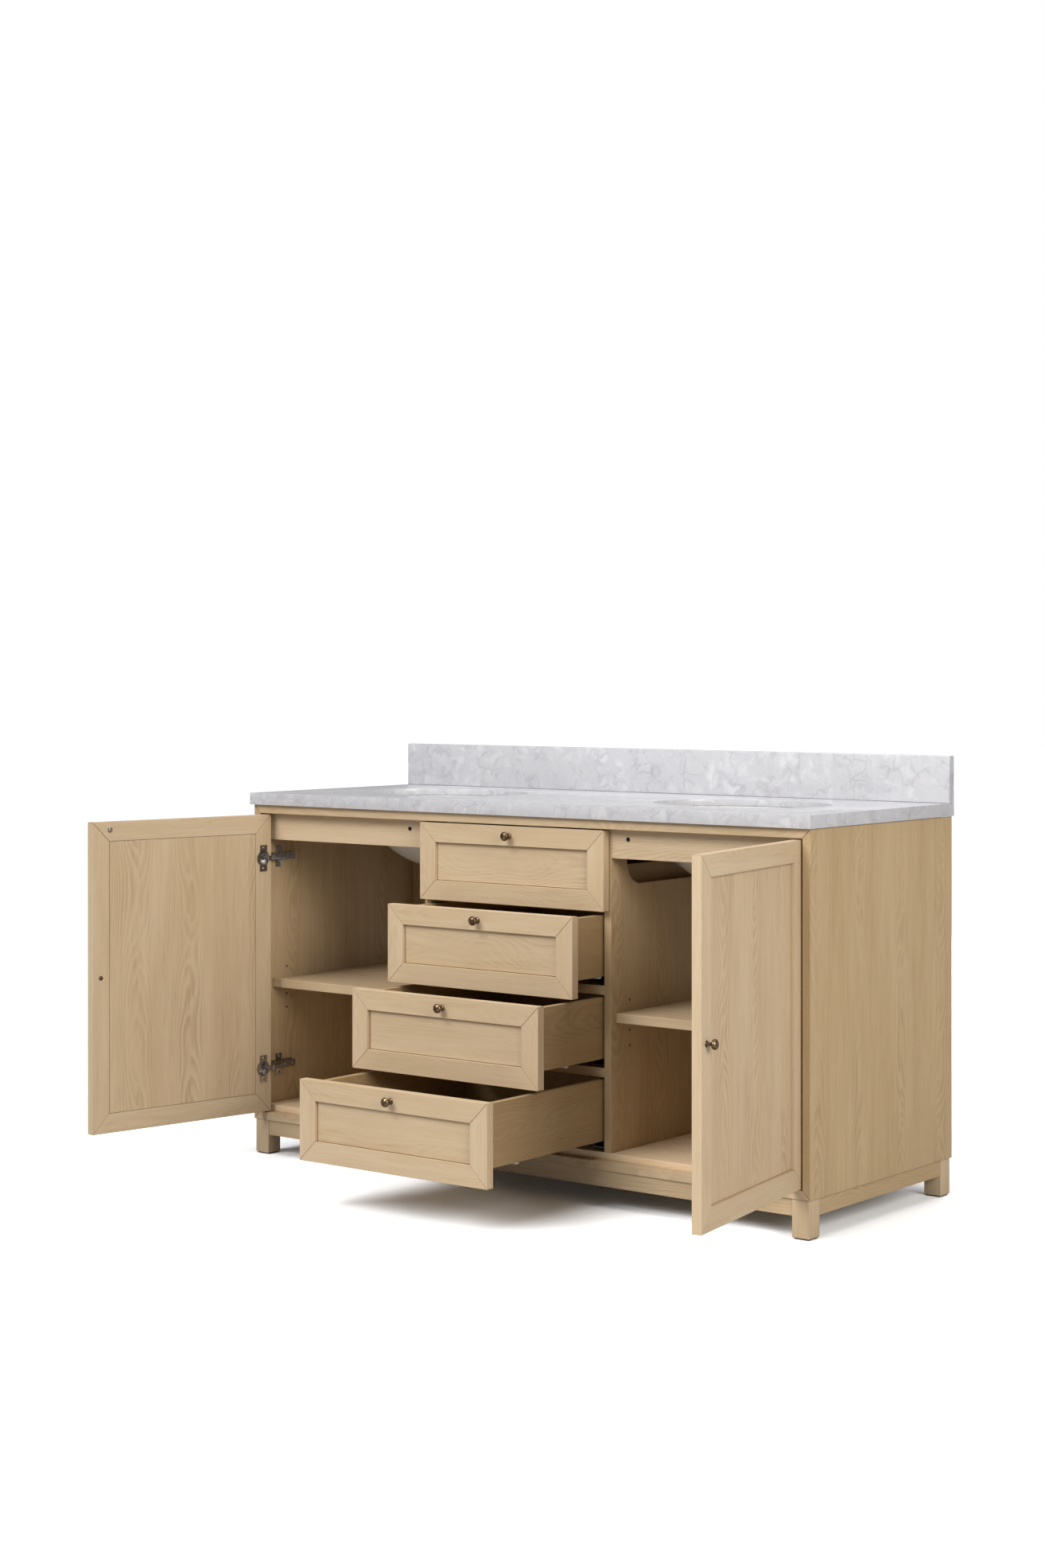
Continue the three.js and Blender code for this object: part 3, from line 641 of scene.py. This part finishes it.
def pin_places(shelf):
    """Y and Z of the shelf-pin holes, in two columns above and below a shelf."""
    low, high = box_of(shelf)
    pitch = settings("joinery").pin_pitch
    first = low[2] - 20 * MM - pitch
    return [(y, first + step * pitch) for y in (low[1] + PIN_INSET, high[1] - PIN_INSET) for step in (0, 1, 3)]


def pin_rods(face_x, shelf, radius, low, high):
    """A rod at each shelf-pin hole, from low to high along X about a board's face."""
    return joined(*(rod(radius, low, high, 14, 0, (face_x, y, z)) for y, z in pin_places(shelf)))


def pin_holes(face_x, shelf):
    """The drills for the shelf-pin holes."""
    return pin_rods(face_x, shelf, 2.9 * MM, -9 * MM, 9 * MM)


class VANITY_OT_case(bpy.types.Operator):
    """The mitred sides, bottom and top rail, the dividers, rails, shelves and back"""
    bl_idname = "vanity.case"
    bl_label = "Case"

    def execute(self, context):
        joinery = settings("joinery")
        ease_by, gap = joinery.edge_ease, joinery.mitre_gap
        (inner, front, bottom), (outer, back, top) = box_of("side_right")
        open_bottom = bottom + (outer - inner)
        rail_low, rail_high = box_of("top_rail")
        open_top = rail_low[2]

        for side, s in SIDES:
            outline = [(s * outer, bottom + gap), (s * outer, top - gap), (s * inner, open_top - gap),
                       (s * inner, open_bottom + gap)]
            board = bored(ease(prism(outline, 1, front, back), ease_by), pin_holes(s * inner, f"shelf_{side}"))
            add_board(f"side_{side}_board", board, "side", "Zy", f"side_{side}")

        outline = [(-outer + gap, bottom), (outer - gap, bottom), (inner - gap, open_bottom),
                   (-inner + gap, open_bottom)]
        add_board("case_bottom_member", ease(prism(outline, 1, front, back), ease_by), "case", "X", "case_bottom")
        divider_low, divider_high = box_of("divider_right")
        floor_top = box_of("case_bottom")[1][2]
        slot = 0.3 * MM
        floor = slab((-inner + slot, divider_low[1], open_bottom), (inner - slot, divider_high[1], floor_top))
        # The bay floor wears the oak with painted light on it.
        add_board("case_floor_board", ease(floor, ease_by), "bay_floor_painted_light", "Xy")
        outline = [(-inner + gap, open_top), (inner - gap, open_top), (outer - gap, top), (-outer + gap, top)]
        rail = ease(prism(outline, 1, rail_low[1], rail_high[1]), ease_by)
        add_board("top_rail_member", rail, "case", "X", "top_rail")
        add_board("back_panel_board", cad_copy("back_panel"), "side", "Z", "back_panel", slot="shelf_and_back_oak")

        for side, s in SIDES:
            name = f"divider_{side}"
            low, high = box_of(name)
            face = high[0] if s > 0 else low[0]
            board = bored(ease(cad_copy(name), ease_by, angle=60), pin_holes(face, f"shelf_{side}"))
            add_board(name + "_board", board, "side", "Zy", name)
            name = f"sub_rail_{side}"
            low, high = box_of(name)
            x, z, radius = catch_place(side)
            drill = rod(radius, -10 * MM, 30 * MM, 24, 1, (x, low[1], z))
            add_board(name + "_board", bored(ease(slab(low, high), ease_by), drill), "drawer", "X", name)
            name = f"shelf_{side}"
            add_board(name + "_board", ease(cad_copy(name), 1.2 * MM), "case", "Xy", name,
                      slot="shelf_and_back_oak")
        for number in DRAWERS[:-1]:
            name = f"drawer_rail_{number}"
            add_board(name + "_board", ease(cad_copy(name), ease_by), "case", "X", name)
        return {"FINISHED"}


def catch_place(side):
    """X and Z of the catch in a sub-rail, and its radius, from the hole in the CAD rail."""
    name = f"sub_rail_{side}"
    low, high = box_of(name)
    inside = [v.co for v in frame["nodes"][name].data.vertices
              if low[0] + 1e-4 < v.co.x < high[0] - 1e-4 and low[2] + 1e-4 < v.co.z < high[2] - 1e-4]
    xs, zs = [v.x for v in inside], [v.z for v in inside]
    return (min(xs) + max(xs)) / 2, (min(zs) + max(zs)) / 2, (max(xs) - min(xs)) / 2


# ---- Top and basins ----
class VANITY_OT_top(bpy.types.Operator):
    """The marble top with its built-up edge, and the backsplash with a line of sealant"""
    bl_idname = "vanity.top"
    bl_label = "Marble top"

    def execute(self, context):
        width = settings("stone").edge_ease
        top = ease(cad_copy("marble_top"), width, 3, angle=60)
        add_piece("marble_slab", top, "case", "marble", stands_for=("marble_top",))
        splash = ease(cad_copy("backsplash"), width, 3)
        add_piece("marble_backsplash", splash, "case", "marble", stands_for=("backsplash",))
        (left, y, z), (right, _, _) = box_of("backsplash")
        bead, inset = 1.3 * MM, 2 * MM
        outline = [(y + bead, z), (y - bead, z), (y + bead * 0.1, z + bead), (y + bead, z + bead)]
        line = prism(outline, 0, left + inset, right - inset)
        add_piece("backsplash_sealant", line, "case", "sealant")
        return {"FINISHED"}


class VANITY_OT_basins(bpy.types.Operator):
    """The two oval basins under the top"""
    bl_idname = "vanity.basins"
    bl_label = "Basins"

    def execute(self, context):
        fittings = settings("fittings")
        deep, wall, drain = fittings.basin_depth, fittings.basin_wall, fittings.drain_radius
        rim_wide, rim_thick = fittings.rim_width, fittings.rim_thickness
        steps, rows = 96, 20
        for side, _ in SIDES:
            name = f"basin_{side}"
            low, high = box_of(name)
            rim_x, rim_y = (high[0] - low[0]) / 2, (high[1] - low[1]) / 2
            bowl = rim_y - rim_wide
            outer, outer_deep = bowl + wall, deep + wall
            turns = [math.pi / 2 * row / rows for row in range(rows + 1)]
            inside = [(bowl * math.cos(turn), -deep * math.sin(turn)) for turn in turns]
            outside = [(outer * math.cos(turn), -outer_deep * math.sin(turn)) for turn in turns]
            clear = 4 * MM
            outside = [p for p in outside if p[1] < -rim_thick - clear and p[0] > drain + clear]
            inside = [p for p in inside if p[0] > drain + clear]
            ends = [(drain, -depth * math.sqrt(1 - (drain / radius) ** 2))
                    for radius, depth in ((outer, outer_deep), (bowl, deep))]
            rim = [(outer + 3 * MM, -rim_thick - 1 * MM), (outer + 8 * MM, -rim_thick),
                   (rim_y - 3 * MM, -rim_thick), (rim_y, -rim_thick + 3 * MM), (rim_y, -1.5 * MM),
                   (rim_y - 1.5 * MM, 0.0), (bowl + 3 * MM, 0.0), (bowl + 0.6 * MM, -0.8 * MM)]
            profile = [ends[0], *outside[::-1], *rim, *inside[1:], ends[1]]
            shell = lathe(profile + profile[:1], steps)
            bmesh.ops.remove_doubles(shell, verts=shell.verts, dist=1e-6)
            for vertex in shell.verts:
                radius = math.hypot(vertex.co.x, vertex.co.y)
                share = min(max((radius - drain) / (bowl * 0.5 - drain), 0.0), 1.0)
                vertex.co.x *= 1 + (rim_x / rim_y - 1) * share
            put(shell, (middle(low, high, 0), middle(low, high, 1), high[2]))
            bmesh.ops.recalc_face_normals(shell, faces=shell.faces)
            add_piece(name + "_bowl", shell, "case", "glaze", stands_for=(name,), smooth=50)
        return {"FINISHED"}


# ---- Frames, doors and drawers ----
def framed_front(name, low, high, rides, stands_for, panel_grain, place=None, panel_for=(), bores=None):
    """Two stiles and two rails with mitred corners, and the panel between them, in its closed place."""
    joinery = settings("joinery")
    wide, gap, slack = joinery.frame_face, joinery.mitre_gap, joinery.panel_gap
    (x0, front, z0), (x1, back, z1) = low, high

    def stile(edge, inward):
        return [(edge, z0 + gap), (edge + inward, z0 + wide + gap), (edge + inward, z1 - wide - gap),
                (edge, z1 - gap)]

    def rail(edge, inward):
        return [(x0 + gap, edge), (x1 - gap, edge), (x1 - wide - gap, edge + inward),
                (x0 + wide + gap, edge + inward)]

    members = (("stile_left", stile(x0, wide), "Z"), ("stile_right", stile(x1, -wide), "Z"),
               ("rail_lower", rail(z0, wide), "X"), ("rail_upper", rail(z1, -wide), "X"))
    for member, outline, grain in members:
        body = ease(prism(outline, 1, front, back), joinery.edge_ease * 0.7)
        if bores and member in bores:
            body = bored(body, bores[member])
        add_piece(f"{name}_{member}", body, rides, "member", grain, place,
                  stands_for if member == "stile_left" else ())
    panel = slab((x0 + wide + slack, front + joinery.panel_recess, z0 + wide + slack),
                 (x1 - wide - slack, back, z1 - wide - slack))
    look = "veneer" if panel_grain == "Z" else "drawer"
    add_piece(f"{name}_panel", ease(panel, 0.4 * MM, 1), rides, look, panel_grain, place, panel_for)


KNOB_PROFILE = [(0.0, 0.0), (6.4, 0.0), (6.5, 0.6), (6.2, 1.5), (4.9, 2.4), (3.7, 3.6), (3.3, 5.6), (3.4, 8.2),
                (4.3, 10.2), (6.6, 11.7), (8.8, 13.2), (9.8, 15.2), (9.95, 17.0), (9.2, 19.3), (7.4, 21.2),
                (4.6, 22.5), (2.0, 22.95), (0.0, 23.0)]


def add_knob(name, node, low, high, front, rides, place=None):
    """A turned knob that stands out of a front, over the box of its CAD node."""
    points = [(radius * MM, -height * MM) for radius, height in KNOB_PROFILE]
    body = lathe(rounded_profile(points, 3), settings("fittings").knob_steps, axis=1)
    put(body, (middle(low, high, 0), front, middle(low, high, 2)))
    add_piece(name, body, rides, "bronze", place=place, stands_for=(node,), smooth=60)


def screw_head(radius, place, axis=1, facing=1.0):
    """A pan-head screw with a cross recess, standing out along the axis."""
    height, arm, depth = radius * 0.55, radius * 0.52, radius * 0.30
    points = [(0, 0), (radius, 0), (radius, height * 0.35), (radius * 0.86, height * 0.8), (radius * 0.5, height),
              (0, height)]
    head = lathe([(r, h * facing) for r, h in points], 20, axis)
    centre = [0.0] * 3
    centre[axis] = height * facing
    slots = []
    for long_axis in sorted({0, 1, 2} - {axis}):
        half = [arm * 0.26] * 3
        half[long_axis] = arm
        half[axis] = depth
        slots.append(slab([c - h for c, h in zip(centre, half)], [c + h for c, h in zip(centre, half)]))
    return put(bored(head, *slots), place)


def fixed_disc(profile, steps, screw_radius, seat, place):
    """A turned disc on a door's back, and the screw that holds it, with the screw's seat above the back."""
    disc = put(lathe([(radius * MM, height * MM) for radius, height in profile], steps, axis=1), place)
    x, y, z = place
    return joined(disc, screw_head(screw_radius * MM, (x, y + seat * MM, z)))


class VANITY_OT_doors(bpy.types.Operator):
    """The two framed doors, with their knobs, the knobs' screws and the strikes for the catches"""
    bl_idname = "vanity.doors"
    bl_label = "Doors"

    def execute(self, context):
        for side, s in SIDES:
            rides = f"door_{side}"
            place = closed_turn(rides)
            low, high = closed_box(f"door_frame_{side}", rides)
            drills = [cup_drill(side, closed_box(f"hinge_cup_{side}_{level}", rides), high[1]) for level in LEVELS]
            framed_front(rides, low, high, rides, (f"door_frame_{side}",), "Z", place,
                         (f"door_panel_{side}",), {"stile_right" if s > 0 else "stile_left": joined(*drills)})
            node = f"door_knob_{side}"
            knob_box = closed_box(node, rides)
            add_knob(f"door_{side}_knob", node, *knob_box, low[1], rides, place)
            washer = [(0, 0), (5.2, 0), (4.8, 0.6), (0, 0.6)]
            screw = fixed_disc(washer, 24, 3.6, 0.6, (middle(*knob_box, 0), high[1], middle(*knob_box, 2)))
            add_piece(f"door_{side}_knob_screw", screw, rides, "bronze", place=place, smooth=35)
            x, z, _ = catch_place(side)
            plate = [(0, 0), (6.2, 0), (6.2, 0.8), (5.5, 1.4), (0, 1.4)]
            strike = fixed_disc(plate, 28, 3.0, 1.2, (x, high[1], z))
            add_piece(f"door_{side}_strike", strike, rides, "nickel", place=place, smooth=35)
        return {"FINISHED"}


class VANITY_OT_drawers(bpy.types.Operator):
    """The four drawers: framed fronts, boxes of five boards and knobs"""
    bl_idname = "vanity.drawers"
    bl_label = "Drawers"

    def execute(self, context):
        for number in DRAWERS:
            rides, front = f"drawer_{number}", f"drawer_front_{number}"
            low, high = box_of(front)
            framed_front(rides, low, high, rides, (front,), "X")
            drawer_box(number, rides)
            node = f"drawer_knob_{number}"
            add_knob(f"drawer_{number}_knob", node, *box_of(node), low[1], rides)
        return {"FINISHED"}


def drawer_box(number, rides):
    """Two sides, a front and a back between them, and a bottom let into all four."""
    joinery = settings("joinery")
    node_name = f"drawer_box_{number}"
    low, high = box_of(node_name)
    wall, ease_by, gap = joinery.box_wall, joinery.edge_ease, 0.15 * MM

    def add(part, body, grain, *stands_for):
        add_piece(f"{rides}_{part}", body, rides, "box", grain, stands_for=stands_for)

    for side, s in SIDES:
        edge = high[0] if s > 0 else low[0]
        board = slab((edge, low[1] + gap, low[2]), (edge - s * wall, high[1], high[2]))
        add(f"side_{side}", ease(board, ease_by), "Yz", *([node_name] if s > 0 else []))
    inner = high[0] - wall - gap
    for end, y0, y1 in (("inner_front", low[1] + gap, low[1] + wall), ("back", high[1] - wall, high[1])):
        add(end, ease(slab((-inner, y0, low[2]), (inner, y1, high[2] - 0.5 * MM)), ease_by), "X")
    lift = low[2] + joinery.box_bottom_lift
    bottom = slab((-inner, low[1] + wall + gap, lift), (inner, high[1] - wall - gap, lift + joinery.box_bottom))
    add("bottom", bottom, "Xy")


# ---- Metal fittings ----
def cup_centre(side, low, high):
    """X and Z of a hinge cup in the closed door, and its radius."""
    radius = 17.5 * MM
    return (low[0] + radius if side == "right" else high[0] - radius), middle(low, high, 2), radius


def cup_drill(side, cup_box, back):
    """The bore for a hinge cup, in the closed door."""
    x, z, radius = cup_centre(side, *cup_box)
    clear = 0.3 * MM
    return rod(radius + clear, cup_box[0][1] - back - clear, 10 * MM, 40, 1, (x, back, z))


class VANITY_OT_hinges(bpy.types.Operator):
    """The cups, links, arms, mounting plates and screws of the concealed hinges"""
    bl_idname = "vanity.hinges"
    bl_label = "Hinges"

    def execute(self, context):
        def add(part, body, rides, place=None, stands_for=(), smooth=20.0):
            add_piece(part, body, rides, "nickel", None, place, stands_for, smooth)

        for side, s in SIDES:
            rides = f"door_{side}"
            place = closed_turn(rides)
            back = closed_box(f"door_frame_{side}", rides)[1][1]
            for level in LEVELS:
                name = f"hinge_{side}_{level}"
                cup, arm = f"hinge_cup_{side}_{level}", f"hinge_arm_{side}_{level}"
                body = moved(cad_copy(cup), place.inverted())
                add(name + "_cup", ease(body, 0.25 * MM, 2, 50), rides, place, (cup,))
                x, z, _ = cup_centre(side, *closed_box(cup, rides))
                heads = [screw_head(3.4 * MM, (x, back + 1.7 * MM, z + t * 24 * MM)) for t in (-1, 1)]
                add(name + "_cup_screws", joined(*heads), rides, place, smooth=35)
                add(name + "_arm", ease(cad_copy(arm), 0.5 * MM, 2, 50), "case", stands_for=(arm,))
                low, high = box_of(arm)
                wall = high[0] if s > 0 else low[0]
                z, end = middle(low, high, 2), high[1]
                plate, top = wall - s * 2.5 * MM, wall - s * 14.5 * MM
                heads = [screw_head(3.6 * MM, (plate, end - 43.5 * MM, z + t * 20 * MM), 0, -s) for t in (-1, 1)]
                heads += [screw_head(3.2 * MM, (top, end - d * MM, z), 0, -s) for d in (8, 34)]
                add(name + "_arm_screws", joined(*heads), "case", smooth=35)
        return {"FINISHED"}


class VANITY_OT_slides(bpy.types.Operator):
    """The slides' fixed channels, their runners under the boxes, and the front clips"""
    bl_idname = "vanity.slides"
    bl_label = "Drawer slides"

    def execute(self, context):
        steel, gap, end_gap = 1.5 * MM, 0.5 * MM, 15 * MM
        clips = ((2 * MM, 20 * MM, 5 * MM), (96 * MM, 11 * MM, 3.5 * MM))
        for number in DRAWERS:
            rides = f"drawer_{number}"
            box_low, box_high = box_of(f"drawer_box_{number}")
            front, under = box_low[1], box_low[2]
            bottom = under + settings("joinery").box_bottom_lift - gap
            side_inner = box_high[0] - settings("joinery").box_wall - gap
            for side, s in SIDES:
                name = f"slide_{number}_{side}"
                add_piece(name + "_channel", cad_copy(name), "case", "zinc_with_painted_shade", stands_for=(name,))
                low, high = box_of(name)
                wall = min(abs(low[0]), abs(high[0]))
                edge, foot = wall + 2.9 * MM, under - 3 * MM
                section = [(edge, bottom), (edge, foot), (edge + steel, foot), (edge + steel, bottom - steel),
                           (side_inner, bottom - steel), (side_inner, bottom)]
                runner = prism([(s * x, z) for x, z in section], 1, front + end_gap, box_high[1] - end_gap)
                add_piece(name + "_runner", runner, rides, "zinc_with_painted_shade")
                bodies = [ease(slab((s * (wall + 6 * MM), front + start, under - drop),
                                    (s * (wall + 25 * MM), front + start + long, under - 0.3 * MM)), 0.8 * MM)
                          for start, long, drop in clips]
                add_piece(name + "_clip", joined(*bodies), rides, "grey")
        return {"FINISHED"}


class VANITY_OT_small_fittings(bpy.types.Operator):
    """The catches in the sub-rails and the pins under the shelves"""
    bl_idname = "vanity.small_fittings"
    bl_label = "Catches and shelf pins"

    def execute(self, context):
        for side, s in SIDES:
            x, z, radius = catch_place(side)
            front = box_of(f"sub_rail_{side}")[0][1]
            skin = radius - 0.1 * MM
            body = lathe([(0, 4 * MM), (2.2 * MM, 4 * MM), (2.6 * MM, 1.5 * MM), (radius - 1.2 * MM, 1.5 * MM),
                          (radius - 0.8 * MM, -0.4 * MM), (skin, -0.2 * MM), (skin, 16 * MM), (0, 16 * MM)],
                         32, axis=1)
            add_piece(f"catch_{side}", put(body, (x, front, z)), "case", "black", smooth=35)
            shelf_low, shelf_high = box_of(f"shelf_{side}")
            under = shelf_low[2]
            pins = []
            for face, inward in ((shelf_low[0], 1), (shelf_high[0], -1)):
                for y in (shelf_low[1] + PIN_INSET, shelf_high[1] - PIN_INSET):
                    start = face - 4 * MM if inward > 0 else face
                    tongue = slab((face + inward * 0.5 * MM, y - 4 * MM, under - 1.6 * MM),
                                  (face + inward * 9 * MM, y + 4 * MM, under - 0.2 * MM))
                    pins += [rod(2.4 * MM, 0, 8 * MM, 16, 0, (start, y, under - 2.6 * MM)),
                             ease(tongue, 0.3 * MM)]
            add_piece(f"shelf_pins_{side}", joined(*pins), "case", "nickel", smooth=35)
            # Painted shade: a solid black plug fills each open shelf-pin hole from 1 mm below the face, so that
            # the hole looks dark.
            wall, divider = box_of(f"side_{side}"), box_of(f"divider_{side}")
            faces = ((wall[0][0], 1), (divider[1][0], -1)) if s > 0 else ((wall[1][0], -1), (divider[0][0], 1))
            hole_shade_plugs = [pin_rods(face, f"shelf_{side}", 2.8 * MM, *sorted((into * 1 * MM, into * 8.5 * MM)))
                       for face, into in faces]
            add_piece(f"pin_hole_painted_shade_{side}", joined(*hole_shade_plugs), "case", "black", smooth=35)
        return {"FINISHED"}


# ---- Stage ----
def add_light(name, kind, strength, place, tint=(1.0, 1.0, 1.0), **spread):
    """A soft light that faces the middle of the vanity. The spread is an area's size or a sun's angle."""
    light = bpy.data.lights.new(name, kind)
    light.energy = strength
    light.color = tint
    for key, value in spread.items():
        setattr(light, key, value)
    made = bpy.data.objects.new(name, light)
    made.location = place
    direction = Vector((0.2, 0.0, 0.4)) - made.location
    made.rotation_euler = direction.to_track_quat("-Z", "Y").to_euler()
    bpy.context.scene.collection.objects.link(made)


class VANITY_OT_stage(bpy.types.Operator):
    """The camera, the floor and the soft lights"""
    bl_idname = "vanity.stage"
    bl_label = "Stage"

    def execute(self, context):
        scene = context.scene
        stage = settings("stage")
        camera = bpy.data.cameras.new("camera")
        camera.sensor_width = 36.0
        camera.lens = 58.22
        camera.shift_y = -0.0711
        camera.clip_end = 200.0
        eye = bpy.data.objects.new("camera", camera)
        eye.location = (3.38488, -4.32559, 1.11909)
        eye.rotation_euler = (math.radians(90.0), 0.0, math.radians(38.09))
        scene.collection.objects.link(eye)
        scene.camera = eye

        world = bpy.data.worlds.new("studio")
        world.use_nodes = True
        tree = world.node_tree
        level = smooth_between(tree, seen_by_camera(tree), 0.0, 1.0, stage.sky, 1.0)
        feed(tree, tree.nodes["Background"].inputs, {"Strength": level, "Color": (1.0, 1.0, 1.0, 1.0)})
        scene.world = world
        scene.view_settings.view_transform = "Standard"

        add_light("rear", "AREA", stage.rear, (-0.3, 5.4, 1.2), size=2.6)
        add_light("key", "SUN", stage.key, (-1.1, -4.9, 4.45), angle=math.radians(32.0))
        add_light("fill", "AREA", stage.fill, (5.6, -2.1, 2.8), (1.0, 0.97, 0.91), size=2.6)
        add_light("overhead", "AREA", stage.overhead, (0.3, -0.2, 3.2), size=2.2)

        mesh = bpy.data.meshes.new("floor")
        reach = 30.0
        mesh.from_pydata([(-reach, -reach, 0), (reach, -reach, 0), (reach, reach, 0), (-reach, reach, 0)], [],
                         [(0, 1, 2, 3)])
        floor = bpy.data.objects.new("floor", mesh)
        scene.collection.objects.link(floor)
        made, tree, shader = new_material("floor")
        tone = noise(tree, object_vector(tree), 0.6, 2.0)
        paint = mixed(tree, tone, rgba(stage.floor, 0.99), rgba(stage.floor, 1.01))
        lit = mixed(tree, seen_by_camera(tree), paint, (1.42, 1.44, 1.48, 1.0))
        feed(tree, shader.inputs, {"Base Color": lit, "Roughness": 0.9, "Specular IOR Level": 0.1})
        mesh.materials.append(made)
        return {"FINISHED"}


STEPS = (VANITY_OT_stage, VANITY_OT_base, VANITY_OT_case, VANITY_OT_top, VANITY_OT_basins, VANITY_OT_doors,
         VANITY_OT_drawers, VANITY_OT_hinges, VANITY_OT_slides, VANITY_OT_small_fittings)


class VANITY_PT_builder(bpy.types.Panel):
    """Sizes, colours and building steps of the vanity"""
    bl_label = "Vanity"
    bl_idname = "VANITY_PT_builder"
    bl_space_type = "VIEW_3D"
    bl_region_type = "UI"
    bl_category = "Vanity"

    def draw(self, context):
        layout = self.layout
        for name in GROUPS:
            group = settings(name)
            box = layout.box()
            box.label(text=name.capitalize())
            for key in group.__annotations__:
                box.prop(group, key)
        for step in STEPS:
            layout.operator(step.bl_idname)


GROUPS = {"joinery": VanityJoinery, "timber": VanityTimber, "stone": VanityStone, "fittings": VanityFittings,
          "stage": VanityStage}


def register():
    for name, group in GROUPS.items():
        bpy.utils.register_class(group)
        setattr(bpy.types.Scene, "vanity_" + name, PointerProperty(type=group))
    for kind in (*STEPS, VANITY_PT_builder):
        bpy.utils.register_class(kind)


def unregister():
    for kind in reversed((*STEPS, VANITY_PT_builder)):
        bpy.utils.unregister_class(kind)
    for name, group in reversed(GROUPS.items()):
        delattr(bpy.types.Scene, "vanity_" + name)
        bpy.utils.unregister_class(group)


def main():
    register()
    for step in STEPS:
        family, call = step.bl_idname.split(".")
        getattr(getattr(bpy.ops, family), call)()


if __name__ == "__main__":
    main()
